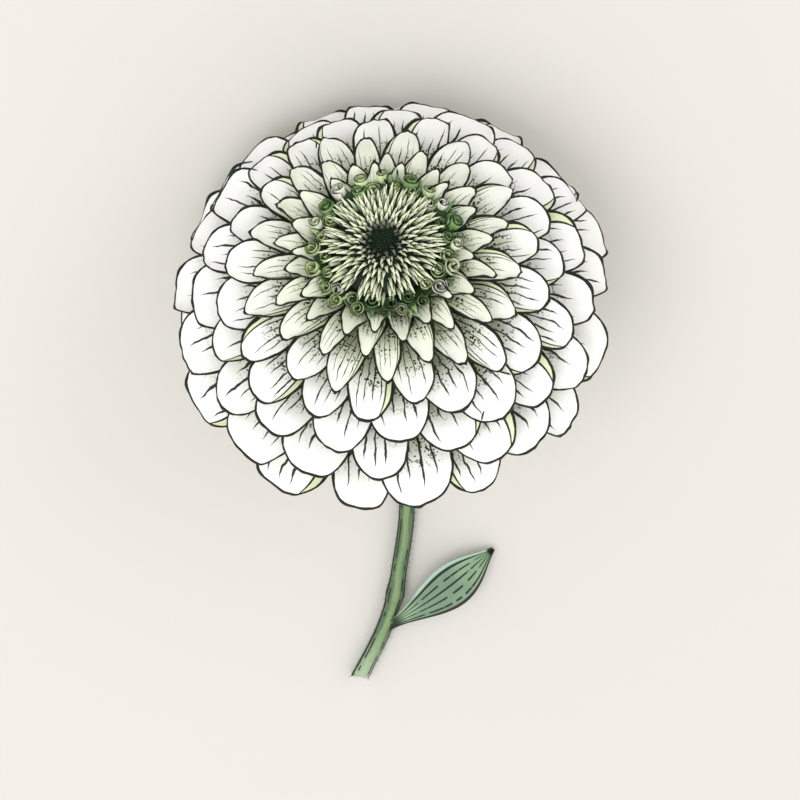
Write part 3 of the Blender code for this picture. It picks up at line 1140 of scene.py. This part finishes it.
# %% The strands
STRANDS = 290
STRAND_SIZE = (0.62 * MM, 0.35 * MM)
STRAND_RADII = (2.9, 11.2)
STRAND_CROWDING = 0.64
STRAND_INSET = 0.6 * MM
STRAND_TURN_CHANCE = (-0.08, 0.08)
STRAND_PITCHES = (60, 12)
STRAND_PITCHED = (0, 0.75)
STRAND_PITCH_CHANCE = (-9, 9)
STRAND_LENGTHS = (1.9, 4.7)
STRAND_FULL = (0, 0.7)
STRAND_LENGTH_CHANCE = (0.85, 1.2)
STRAND_TWIST_CHANCE = (-0.4, 0.4)
DARK_MIDDLE = (0.20, 0.0)
DARKEST = 0.85
STRAND_BASE = (0.30, 0.40, 0.16, 1)
STRAND_TIP = (0.78, 0.85, 0.60, 1)
STRAND_LINE_AT = 0.62


def strand(number):
    share = (number + 0.5) / STRANDS
    radius = mix(*STRAND_RADII, share**STRAND_CROWDING) * MM
    turn = number * GOLDEN_ANGLE + chance_of.uniform(*STRAND_TURN_CHANCE)
    pitch = mix(*STRAND_PITCHES, smooth(*STRAND_PITCHED, share)) + chance_of.uniform(*STRAND_PITCH_CHANCE)
    length = mix(*STRAND_LENGTHS, smooth(*STRAND_FULL, share)) * MM
    length *= chance_of.uniform(*STRAND_LENGTH_CHANCE)
    made = copy_of(chance_of.choice(strand_patterns), "strand")
    store(made, "age", [smooth(*DARK_MIDDLE, share) * DARKEST] * len(made.data.vertices))
    place = (radius - STRAND_INSET, 0, button_height(radius))
    twist = chance_of.uniform(*STRAND_TWIST_CHANCE)
    made.matrix_world = round_head(turn, place, math.radians(pitch), twist, (length, *STRAND_SIZE))
    return made


strand_ring = join([strand(number) for number in range(STRANDS)], "disc_strands")
strand_ring.data.materials.append(
    lined_material("floret_strands", STRAND_BASE, STRAND_TIP, STRAND_LINE_AT)
)
put_on_head(strand_ring)
print("strands:", STRANDS, "triangles:", triangles(strand_ring))

# %% [markdown]
# The florets at the very top are still closed buds, nearly black. Each is a small six-sided cone, and
# they stand close enough to hide one another's feet.

# %% The buds
BUDS = 64
BUD_SIDES = 6
BUD_RADII = (0.42 * MM, 0.12 * MM)
BUD_HEIGHT = 1.3 * MM
BUDS_RADIUS = 3.3 * MM
BUD_LIFT = 0.35 * MM
BUD_LEAN = 0.12
BUD_SIZE_CHANCE = (0.8, 1.25)
BUD_COLOUR = (0.016, 0.035, 0.014, 1)
BUD_ROUGHNESS = 0.45

bpy.ops.mesh.primitive_cone_add(
    vertices=BUD_SIDES, radius1=BUD_RADII[0], radius2=BUD_RADII[1], depth=BUD_HEIGHT
)
bud_pattern = bpy.context.object
buds = []
for number in range(BUDS):
    radius = BUDS_RADIUS * math.sqrt((number + 0.5) / BUDS)
    place = (radius, 0, button_height(radius) + BUD_LIFT)
    size = [chance_of.uniform(*BUD_SIZE_CHANCE)] * 3
    bud = copy_of(bud_pattern, "bud")
    bud.matrix_world = round_head(number * GOLDEN_ANGLE, place, -radius / MM * BUD_LEAN, 0, size)
    buds.append(bud)
bud_heap = join(buds, "disc_buds")
bud_heap.data.materials.append(plain("dark_buds", BUD_COLOUR, BUD_ROUGHNESS))
put_on_head(bud_heap)
remove(*strand_patterns, bud_pattern)

for made in (button_core, strand_ring, bud_heap):
    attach(made, "root")
    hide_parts("disc_florets")
print("buds:", BUDS, "triangles:", triangles(bud_heap))

# %% [markdown]
# ## The rolled florets
#
# Young ray petals come out rolled up like a scroll, so that only a spiral shows from above. One scroll
# is a grid whose columns are carried round a spiral and whose lower rows are drawn in to a foot. The
# end of the roll is slanted, as a scroll's is when it opens.

# %% Scrolls as patterns
ROLL_GRID = (5, 22)
ROLL_SHAPES = ((1.6, 0.08), (2.1, 0.12), (-1.8, 0.05))
ROLL_INNERMOST = 0.16
ROLL_OPENING = 0.8
ROLL_SLANT_FROM = 0.7
ROLL_FOOT = 0.36
ROLL_FOOT_END = 0.8


def roll_pattern(name, turns, slope):
    pattern = flat_grid(name, ROLL_GRID)
    for share in shares(ROLL_GRID[1]):
        side = share * 2 - 1
        angle = share * turns * math.tau
        radius = mix(ROLL_INNERMOST, 1, share**ROLL_OPENING)
        pick_grid(ROLL_GRID, lambda along, across: same(across, side))
        carried = (0, radius * math.cos(angle) - side, radius * math.sin(angle))
        bpy.ops.transform.translate(value=carried)
        pick_grid(ROLL_GRID, lambda along, across: same(across, side) and along > ROLL_SLANT_FROM)
        bpy.ops.transform.translate(value=(-slope * share, 0, 0))
    draw_in_rows(ROLL_GRID, lambda share: mix(ROLL_FOOT, 1, smooth(0, ROLL_FOOT_END, share)))
    bpy.ops.object.mode_set(mode="OBJECT")
    return pattern


roll_patterns = [roll_pattern("roll", *shape) for shape in ROLL_SHAPES]
print("kinds of scroll:", len(roll_patterns))

# %% [markdown]
# The scrolls are light or deep green, and a few are nearly white. The rim of each wall is a dark line,
# which draws the spiral, so the wall's rim has a material of its own.

# %% Greens of the scrolls
SCROLL_GREENS = {
    "rolled_green": ((0.10, 0.20, 0.06, 1), (0.62, 0.74, 0.40, 1)),
    "rolled_deep": ((0.05, 0.12, 0.04, 1), (0.24, 0.40, 0.15, 1)),
    "rolled_pale": ((0.16, 0.27, 0.09, 1), (0.86, 0.90, 0.70, 1)),
    "rolled_white": ((0.16, 0.27, 0.09, 1), (0.88, 0.90, 0.80, 1)),
}
SCROLL_CHANCES = (3, 3, 2, 1)
scroll_greens = [
    lined_material(name, base, tip, NO_LINE) for name, (base, tip) in SCROLL_GREENS.items()
]
line_material = plain("dark_line", LINE_COLOUR)

# %% [markdown]
# Each scroll stands in one of two rings and is turned about its own axis, so that the spirals start
# anywhere. A ring is given by the foot of its scrolls, their top, and its offset in steps.

# %% The rings of scrolls
ROLLS_IN_RING = 20
ROLL_RINGS = (((13.0, 31.6), (14.9, 37.0), 0), ((15.2, 32.2), (17.8, 36.8), 0.5))
ROLL_RADIUS = 1.75 * MM
ROLL_WALL = 0.3 * MM
ROLL_SIZE_CHANCE = (0.8, 1.15)
ROLL_TURN_CHANCE = (-0.15, 0.15)
ROLL_PITCH_CHANCE = (-0.2, 0.16)
ROLL_LENGTH_CHANCE = (0.88, 1.1)


def upright(place):
    """A point of the XZ plane from its radius and height in millimetres."""
    return Vector((place[0], 0, place[1])) * MM


def scroll(start, aim, step):
    made = copy_of(chance_of.choice(roll_patterns), "roll")
    made.data.materials.append(chance_of.choices(scroll_greens, SCROLL_CHANCES)[0])
    made.data.materials.append(line_material)
    size = ROLL_RADIUS * chance_of.uniform(*ROLL_SIZE_CHANCE)
    turn = (step + chance_of.uniform(*ROLL_TURN_CHANCE)) * math.tau / ROLLS_IN_RING
    pitch = steepness(aim) - chance_of.uniform(*ROLL_PITCH_CHANCE)
    twist = chance_of.uniform(0, math.tau)
    length = aim.length * chance_of.uniform(*ROLL_LENGTH_CHANCE)
    made.matrix_world = round_head(turn, start, pitch, twist, (length, size, size))
    apply_place(made)
    store(made, "age", [0.0] * len(made.data.vertices))
    give_wall(made, ROLL_WALL, material_offset_rim=1)
    round_off(made)
    apply_modifiers(made)
    return made


scrolls = []
for foot, top, offset in ROLL_RINGS:
    start = upright(foot)
    aim = upright(top) - start
    scrolls += [scroll(start, aim, number + offset) for number in range(ROLLS_IN_RING)]
scroll_ring = join(scrolls, "rolled_scrolls")
shade_smooth(scroll_ring)
put_on_head(scroll_ring, HEAD_SPIN)
print("scrolls:", len(scrolls), "triangles:", triangles(scroll_ring))

# %% [markdown]
# The scrolls stand in a dark cup, and small green scales fill the space between them. A scale is
# a strap of the same build as a strand, only broader, so it is made by the same steps.

# %% The cup and the scales
CUP_PROFILE = ((9.6, 28.8), (13.2, 32), (16.2, 34.6), (15.6, 35.2), (12.6, 33.6), (9, 31))
CUP_SIDES = 40
CUP_COLOUR = (0.035, 0.075, 0.022, 1)
SCALES = 54
SCALE_SHAPE = (0.7, 1.4)
SCALE_GREENS = {
    "chaff_deep": ((0.03, 0.07, 0.02, 1), (0.12, 0.24, 0.08, 1)),
    "chaff_green": ((0.06, 0.13, 0.04, 1), (0.36, 0.52, 0.22, 1)),
}
SCALE_LINE_AT = 0.7
SCALE_TURN_CHANCE = (-0.05, 0.05)
SCALE_RADII = (12.6, 15.6)
SCALE_HEIGHT = 33.2
SCALE_PITCHES = (25, 60)
SCALE_TWIST_CHANCE = (-0.5, 0.5)
SCALE_LENGTHS = (3.4, 4.8)
SCALE_SIZE = (0.9 * MM, 0.5 * MM)

cup = turned("rolled_chaff", CUP_PROFILE, CUP_SIDES)
cup.data.materials.append(plain("dark_chaff", CUP_COLOUR))
put_on_head(cup)
scale_pattern = strand_pattern("chaff", *SCALE_SHAPE)
scale_greens = [
    lined_material(name, base, tip, SCALE_LINE_AT) for name, (base, tip) in SCALE_GREENS.items()
]


def chaff_scale(number):
    made = copy_of(scale_pattern, "chaff")
    store(made, "age", [0.0] * len(made.data.vertices))
    made.data.materials.append(chance_of.choice(scale_greens))
    turn = number * math.tau / SCALES + chance_of.uniform(*SCALE_TURN_CHANCE)
    place = upright((chance_of.uniform(*SCALE_RADII), SCALE_HEIGHT))
    pitch = math.radians(chance_of.uniform(*SCALE_PITCHES))
    twist = chance_of.uniform(*SCALE_TWIST_CHANCE)
    length = chance_of.uniform(*SCALE_LENGTHS) * MM
    made.matrix_world = round_head(turn, place, pitch, twist, (length, *SCALE_SIZE))
    return made


scale_ring = join([chaff_scale(number) for number in range(SCALES)], "rolled_chaff_scales")
put_on_head(scale_ring)
remove(*roll_patterns, scale_pattern)
for made in (scroll_ring, cup, scale_ring):
    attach(made, "root")
    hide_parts("rolled_florets")
    print(made.name, "triangles:", triangles(made))

# %% [markdown]
# ## The bracts
#
# Three rows of rounded green scales hold the head from behind, like tiles on a roof. Each scale has
# the thin dark margin of a zinnia. One bract is modelled flat, with a round end, and hollowed.

# %% One bract as a pattern
BRACT_GRID = (8, 8)
BRACT_FOOT_WIDTH = 0.45
BRACT_FOOT = (0, 0.5)
BRACT_END = (0.5, 1)
BRACT_END_NARROWING = 0.75
BRACT_DRAWN_BACK = 0.14
BRACT_BELLY = -0.9


def bract_width(share):
    limb = mix(BRACT_FOOT_WIDTH, 1, smooth(*BRACT_FOOT, share))
    return limb * math.sqrt(1 - BRACT_END_NARROWING * smooth(*BRACT_END, share) ** 2)


bract_pattern = flat_grid("bract", BRACT_GRID)
narrow_rows(BRACT_GRID, bract_width)
lift_columns(BRACT_GRID, lambda out: (-BRACT_DRAWN_BACK * out**DRAW_POWER, 0, out * out))
raise_rows(BRACT_GRID, lambda share: BRACT_BELLY * math.sin(math.pi * share))
bpy.ops.object.mode_set(mode="OBJECT")
print("corners in a bract:", len(bract_pattern.data.vertices))

# %% [markdown]
# A row of bracts is given by the place of its feet, the place of its tips, and half the width of one.
# Each row stands half a step on, so that its bracts cover the gaps of the row before.

# %% The rows of bracts
BRACTS_IN_ROW = 8
BRACT_ROWS = (
    ((3.2, -12.3), (10.0, -10.6), 4.6),
    ((5.0, -10.8), (13.3, -8.5), 5.9),
    ((7.0, -9.3), (16.5, -6.0), 7.2),
)
BRACT_TURN_CHANCE = (-0.06, 0.06)
BRACT_TWIST = 0.12
BRACT_LENGTH_CHANCE = (0.96, 1.04)
BRACT_HOLLOW = 1.3 * MM
BRACT_WALL = 0.4 * MM
BRACT_COLOURS = ((0.20, 0.33, 0.12, 1), (0.13, 0.24, 0.08, 1))
BRACT_LINES_AT = (0.86, 0.93)
bract_material = lined_material("bract_green", *BRACT_COLOURS, *BRACT_LINES_AT)

for row, (foot, tip, half_width) in enumerate(BRACT_ROWS):
    start = upright(foot)
    aim = upright(tip) - start
    bracts = []
    for number in range(BRACTS_IN_ROW):
        step = number + row / 2 + chance_of.uniform(*BRACT_TURN_CHANCE)
        size = (aim.length * chance_of.uniform(*BRACT_LENGTH_CHANCE), half_width * MM, BRACT_HOLLOW)
        bract = copy_of(bract_pattern, "bract")
        turn = step * math.tau / BRACTS_IN_ROW
        bract.matrix_world = round_head(turn, start, steepness(aim), BRACT_TWIST, size)
        bracts.append(bract)
    bract_row = join(bracts, f"bract_row{row + 1}")
    bract_row.data.materials.append(bract_material)
    store(bract_row, "age", [0.0] * len(bract_row.data.vertices))
    apply_place(bract_row)
    give_wall(bract_row, BRACT_WALL, offset=0)
    round_off(bract_row)
    apply_modifiers(bract_row)
    shade_smooth(bract_row)
    put_on_head(bract_row)
    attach(bract_row, "root")
    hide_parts(f"bracts_row{row + 1}")
    print(bract_row.name, "triangles:", triangles(bract_row))
remove(bract_pattern)

# %% [markdown]
# ## The stem
#
# The stem comes out of the neck, curves down and lies on the table. Its path is one smooth curve,
# through two points on the head's axis and a few places given in millimetres from the point of the
# table that is under the head's centre.

# %% The stem's path
HEAD_HEIGHT = 29.5 * MM
GROUND = HEAD.translation - Vector((0, 0, HEAD_HEIGHT))
STEM_REST = 2.05
NECK_HEIGHTS = (-12 * MM, -17 * MM)
STEM_PLACES = (
    (-1.8, 22.5, 10.4),
    (-2.6, 35.0, 5.0),
    (-3.2, 50.0, 2.4),
    (-3.3, 62.0, STEM_REST),
    (-2.0, 73.0, STEM_REST),
    (0.9, 88.0, STEM_REST),
    (8.4, 105.0, STEM_REST),
)
PATH_STEPS = 16

stem_points = [HEAD @ Vector((0, 0, height)) for height in NECK_HEIGHTS]
stem_points += [GROUND + Vector(place) * MM for place in STEM_PLACES]
path = bpy.data.curves.new("stem_path", "CURVE")
path.dimensions = "3D"
path.resolution_u = PATH_STEPS
path.twist_mode = "Z_UP"
stem_spline = path.splines.new("BEZIER")
stem_spline.bezier_points.add(len(stem_points) - 1)
for point, place in zip(stem_spline.bezier_points, stem_points):
    point.co = place
    point.handle_left_type = point.handle_right_type = "AUTO"
stem_path = bpy.data.objects.new("stem_path", path)
bpy.context.collection.objects.link(stem_path)
bpy.context.view_layer.update()
stem_length = stem_spline.calc_length()
print("stem's length in mm:", round(stem_length / MM))

# %% [markdown]
# The stem is green, with a painted highlight along its top, and paler towards its cut. A rough dark
# line runs down each side, and between them are rows of dashes. The cut face shows the pale pith.

# %% Stem materials
STEM_ROUGHNESS = 0.5
STEM_GREEN = (0.095, 0.15, 0.085, 1)
STEM_HIGHLIGHT = (0.185, 0.275, 0.125, 1)
STEM_PALE = (0.33, 0.44, 0.29, 1)
HIGHLIGHT_STRETCH = (6.0, 3.0)
HIGHLIGHT_SCALE = 2.0
HIGHLIGHT_DRIFT = 0.3
HIGHLIGHT_EDGE = (0.17, 0.04)
PALE_END = (0.85, 1.0)
SIDE_AT = 0.42
SIDE_ROUGH = 60.0
SIDE_WIDTHS = (0.35, 0.65, 0.105, 0.145)
SIDE_INNER = 0.08
DASH_AT = 0.22
DASH_STRETCH = 34.0
DASH_CHANCES = (0.46, 0.52)
DASH_EDGE = (0.04, 0.02)
STEM_INK = 0.97
PITH = (0.62, 0.68, 0.46, 1)
PITH_ROUGHNESS = 0.8


def stem_material():
    green = Shading("stem_green", STEM_ROUGHNESS)
    along, around = green.along_and_across()
    highlight_along, highlight_around = HIGHLIGHT_STRETCH
    drift = green.vector(green.times(along, highlight_along), green.times(around, highlight_around))
    drift = green.times(green.less(green.noise(drift, HIGHLIGHT_SCALE), 0.5), HIGHLIGHT_DRIFT)
    # Painted highlight: a lighter band with a wandering edge along the top of the stem, where the light
    # falls.
    lit = green.step(green.size(green.add(around, drift)), *HIGHLIGHT_EDGE)
    body = green.colour(lit, STEM_GREEN, STEM_HIGHLIGHT)
    body = green.colour(green.step(along, *PALE_END), body, STEM_PALE)
    flank = green.size(around)
    rough = green.noise(green.vector(green.times(along, SIDE_ROUGH), flank), 1.0)
    side = green.size(green.less(flank, SIDE_AT))
    side = green.step(side, green.step(rough, *SIDE_WIDTHS), SIDE_INNER)
    dashes = green.noise(green.vector(green.times(along, DASH_STRETCH), around), 1.0, 0.0)
    dashes = green.step(dashes, *DASH_CHANCES)
    dashes = green.times(green.step(green.size(green.less(flank, DASH_AT)), *DASH_EDGE), dashes)
    marks = green.times(green.most(side, dashes), STEM_INK)
    return green.finish(green.colour(marks, body, LINE_COLOUR))


stem_green = stem_material()
stem_pith = plain("stem_pith", PITH, PITH_ROUGHNESS)

# %% [markdown]
# The tube itself is a grid rolled round and closed. Every second column stands a little lower, which
# makes flutes, and the rows swell where the leaf grows. Both ends are bisected and filled, the lower
# one slantwise, and then the tube is bent along its path.

# %% The stem
STEM_GRID = (60, 16)
STEM_RADIUS = 2 * MM
FLUTE = 0.94
NODE_AT = 0.765
NODE_LENGTH = 0.018
NODE_SWELLING = 0.22
FOOT_FROM = 0.93
FOOT_SWELLING = 0.08
SEAM_GAP = 0.02 * MM
TOP_CUT = 0.4 * MM
FOOT_CUT = 1.2 * MM
FOOT_FACING = (1, 0.3, 0.35)
STEM_CREASE = math.radians(50)


def stem_size(share):
    node = NODE_SWELLING * math.exp(-(((share - NODE_AT) / NODE_LENGTH) ** 2))
    return 1 + node + FOOT_SWELLING * smooth(FOOT_FROM, 1, share)


stem = flat_grid("stem_tube", STEM_GRID)
for column, share in enumerate(shares(STEM_GRID[1])):
    side = share * 2 - 1
    angle = share * math.tau
    radius = STEM_RADIUS * (1 if column % 2 else FLUTE)
    pick_grid(STEM_GRID, lambda along, across: same(across, side))
    rolled = (0, -radius * math.sin(angle) - side, -radius * math.cos(angle))
    bpy.ops.transform.translate(value=rolled)
draw_in_rows(STEM_GRID, stem_size, -STEM_RADIUS)
bpy.ops.mesh.select_all(action="SELECT")
bpy.ops.mesh.remove_doubles(threshold=SEAM_GAP)
bpy.ops.transform.resize(value=(stem_length, 1, 1), center_override=GRID_START)
bpy.ops.object.mode_set(mode="OBJECT")
stem.data.materials.append(stem_green)
stem.data.materials.append(stem_pith)
stem.active_material_index = 1
bpy.ops.object.mode_set(mode="EDIT")
for cut_at, facing in ((stem_length - FOOT_CUT, FOOT_FACING), (TOP_CUT, (-1, 0, 0))):
    bpy.ops.mesh.select_all(action="SELECT")
    bpy.ops.mesh.bisect(plane_co=(cut_at, 0, 0), plane_no=facing, use_fill=True, clear_outer=True)
    bpy.ops.object.material_slot_assign()
bpy.ops.object.mode_set(mode="OBJECT")
bend_along(stem, stem_path)
apply_modifiers(stem)
select_only(stem)
bpy.ops.object.shade_smooth_by_angle(angle=STEM_CREASE)
remove(stem_path)
print("stem triangles:", triangles(stem))

# %% [markdown]
# A zinnia's stem is hairy. Short three-sided cones are set on corners picked by chance from its skin.
# The underside and the cut ends stay bare.

# %% Hairs of the stem
HAIRS = 320
HAIR_LENGTH = 0.8 * MM
HAIR_RADII = (0.06 * MM, 0.01 * MM)
LOWEST_FACING = -0.2
ENDS_FACING = 0.9
HAIR_LEAN_CHANCE = (-0.6, 0.6)
HAIR_SIZE_CHANCE = (0.6, 1.1)
HAIR_COLOUR = (0.045, 0.075, 0.035, 1)

bpy.ops.mesh.primitive_cone_add(
    vertices=3,
    radius1=HAIR_RADII[0],
    radius2=HAIR_RADII[1],
    depth=HAIR_LENGTH,
    location=(0, 0, HAIR_LENGTH / 2),
)
hair_pattern = bpy.context.object
apply_place(hair_pattern)
skin = [
    corner
    for corner in stem.data.vertices
    if corner.normal.z > LOWEST_FACING and abs(corner.normal.y) < ENDS_FACING
]
hairs = []
for corner in chance_of.sample(skin, min(HAIRS, len(skin))):
    hair = copy_of(hair_pattern, "hair")
    hair.matrix_world = (
        Matrix.Translation(corner.co)
        @ corner.normal.to_track_quat("Z", "Y").to_matrix().to_4x4()
        @ Matrix.Rotation(chance_of.uniform(*HAIR_LEAN_CHANCE), 4, "X")
        @ Matrix.Scale(chance_of.uniform(*HAIR_SIZE_CHANCE), 4)
    )
    hairs.append(hair)
stem_hairs = join(hairs, "stem_hairs")
apply_place(stem_hairs)
stem_hairs.data.materials.append(plain("hair_green", HAIR_COLOUR))
remove(hair_pattern)
print("hairs:", len(hairs))

# %% [markdown]
# In the middle of the head the stem widens to the cone that carries all the petals. It is hidden from
# the front, but closes the head behind the bracts, so it is a turned body like the button's.

# %% The receptacle
RECEPTACLE_PROFILE = (
    (2.2, -14.5), (3.2, -12.3), (5.0, -10.8), (7.0, -9.3), (8.5, -7), (8.0, -3.5), (4.2, 19.2)
)
RECEPTACLE_COLOUR = (0.24, 0.34, 0.13, 1)

receptacle = turned("stem_receptacle", RECEPTACLE_PROFILE)
receptacle.data.materials.append(plain("receptacle_green", RECEPTACLE_COLOUR))
put_on_head(receptacle)
for made in (stem, stem_hairs, receptacle):
    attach(made, "root")
    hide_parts("stem")
    print(made.name, "triangles:", triangles(made))

# %% [markdown]
# ## The leaf
#
# The leaf has long veins that run together at both ends, a dark dry tip, and one margin folded up,
# which shows paler. Its foot is darkened with painted shade, where it leaves the stem. The veins are
# stripes across it, as on the petals. The middle one is whole, and the others are broken into dashes.

# %% Leaf material
LEAF_ROUGHNESS = 0.5
LEAF_GREEN = (0.15, 0.24, 0.155, 1)
LEAF_LIGHT = (0.25, 0.37, 0.23, 1)
LEAF_FOLD = (0.37, 0.52, 0.43, 1)
WASH_SCALE = 90.0
WASH_EDGE = (0.35, 0.65)
FOLD_AT = 0.7
FOLD_LINE = (0.10, 0.06)
FOLD_FROM = (0.25, 0.4)
VEIN_SHIFT = 0.03
VEIN_EDGE = (0.17, 0.10)
VEIN_SIDE = (0.55, 0.5)
BREAKS_STRETCH = 14.0
BREAKS_EDGE = (0.38, 0.46)
MIDRIB_END = (0.78, 0.72)
WHOLE_FOOT = (0.30, 0.22)
WHOLE_TIP = (0.80, 0.88)
LOWER_LINE = (-0.84, -0.88)
DRY_TIP = (0.935, 0.96)
FOOT_SHADE = (0.18, 0.07, 0.0, 0.88)
LEAF_INK = 0.97


def leaf_veins(blade, along, across):
    stripes = blade.add(blade.times(blade.add(across, VEIN_SHIFT), STRIPES), 0.5)
    from_middle = blade.size(blade.less(blade.maths("FRACT", stripes), 0.5))
    number = blade.maths("FLOOR", stripes)
    breaks = blade.noise(blade.vector(blade.times(along, BREAKS_STRETCH), number), 1.0, 0.0)
    midrib = blade.maths("LESS_THAN", blade.size(number), 0.5)
    midrib = blade.times(midrib, blade.step(along, *MIDRIB_END))
    ends = blade.most(blade.step(along, *WHOLE_FOOT), blade.step(along, *WHOLE_TIP))
    drawn = blade.most(blade.step(breaks, *BREAKS_EDGE), midrib, ends)
    drawn = blade.times(drawn, blade.step(across, *VEIN_SIDE))
    return blade.times(blade.step(from_middle, *VEIN_EDGE), drawn)


def leaf_material():
    blade = Shading("leaf_green", LEAF_ROUGHNESS)
    along, across = blade.along_and_across()
    wash = blade.step(blade.noise(blade.place(), WASH_SCALE), *WASH_EDGE)
    body = blade.colour(wash, LEAF_GREEN, LEAF_LIGHT)
    fold_line, fold_middle = FOLD_LINE
    folded = blade.step(across, FOLD_AT + fold_middle, FOLD_AT + fold_line)
    body = blade.colour(blade.times(folded, blade.step(along, *FOLD_FROM)), body, LEAF_FOLD)
    crease = blade.step(blade.size(blade.less(across, FOLD_AT)), *FOLD_LINE)
    lower = blade.step(across, *LOWER_LINE)
    # Painted shade: the foot of the leaf is darkened where it leaves the stem.
    ends = blade.most(blade.step(along, *DRY_TIP), blade.step(along, *FOOT_SHADE))
    marks = blade.most(leaf_veins(blade, along, across), crease, lower, ends)
    return blade.finish(blade.colour(blade.times(marks, LEAF_INK), body, LINE_COLOUR))


leaf_green = leaf_material()

# %% [markdown]
# The leaf grows from the swelling of the stem, on a narrow foot, arches out and rests on its tip. It
# is modelled flat from a grid, with grooves at its veins, and bent along its midrib.

# %% The leaf
LEAF_GRID = (28, 12)
LEAF_ROOT = GROUND + Vector((-1.2, 88.8, 0)) * MM
LEAF_HEADING = math.radians(217.5)
LEAF_RIB = ((-2.8, 2.4), (7.0, 6.4), (18.0, 6.6), (28.4, 0.9))
LEAF_FOOT = 0.7
LEAF_BELLY = 5.0
LEAF_BELLY_POWER = 1.35
LEAF_LEAST = 0.35
LEAF_HOLLOW = 1.1
LEAF_GROOVES = 1 / 3
LEAF_GROOVE_DEPTH = 0.18
LEAF_WALL = 0.45 * MM
CURL_FROM = (0.25, 0.5)
CURL_TO = (1.0, 0.8)
CURL_IN = -0.2 * MM
CURL_UP = 0.9 * MM


def leaf_half_width(share):
    belly = LEAF_BELLY * math.sin(math.pi * share**LEAF_BELLY_POWER) ** LEAF_BELLY_POWER
    return (LEAF_FOOT * (1 - share) + belly + LEAF_LEAST) * MM


def leaf_hollow(out):
    groove = LEAF_GROOVE_DEPTH if same(out % LEAF_GROOVES, 0) else 0
    return 0, 0, (LEAF_HOLLOW * out * out - groove) * MM


leaf = flat_grid("leaf_blade", LEAF_GRID)
narrow_rows(LEAF_GRID, leaf_half_width)
lift_columns(LEAF_GRID, leaf_hollow)
for share in shares(LEAF_GRID[0]):
    roll = smooth(*CURL_FROM, share) * smooth(*CURL_TO, share)
    pick_grid(LEAF_GRID, lambda along, across: same(along, share) and same(across, 1))
    bpy.ops.transform.translate(value=(0, CURL_IN * roll, CURL_UP * roll))
bpy.ops.object.mode_set(mode="OBJECT")
leaf_guide = rib_curve([upright(place) for place in LEAF_RIB])
leaf.scale = (leaf_guide.data.splines[0].calc_length(), 1, 1)
apply_place(leaf)
bend_along(leaf, leaf_guide)
give_wall(leaf, LEAF_WALL, offset=0)
round_off(leaf)
bpy.context.view_layer.update()
apply_modifiers(leaf)
remove(leaf_guide)
leaf.matrix_world = Matrix.Translation(LEAF_ROOT) @ Matrix.Rotation(LEAF_HEADING, 4, "Z")
apply_place(leaf)
shade_smooth(leaf)
leaf.data.materials.append(leaf_green)
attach(leaf, "root")
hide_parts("leaf")
print("leaf triangles:", triangles(leaf))
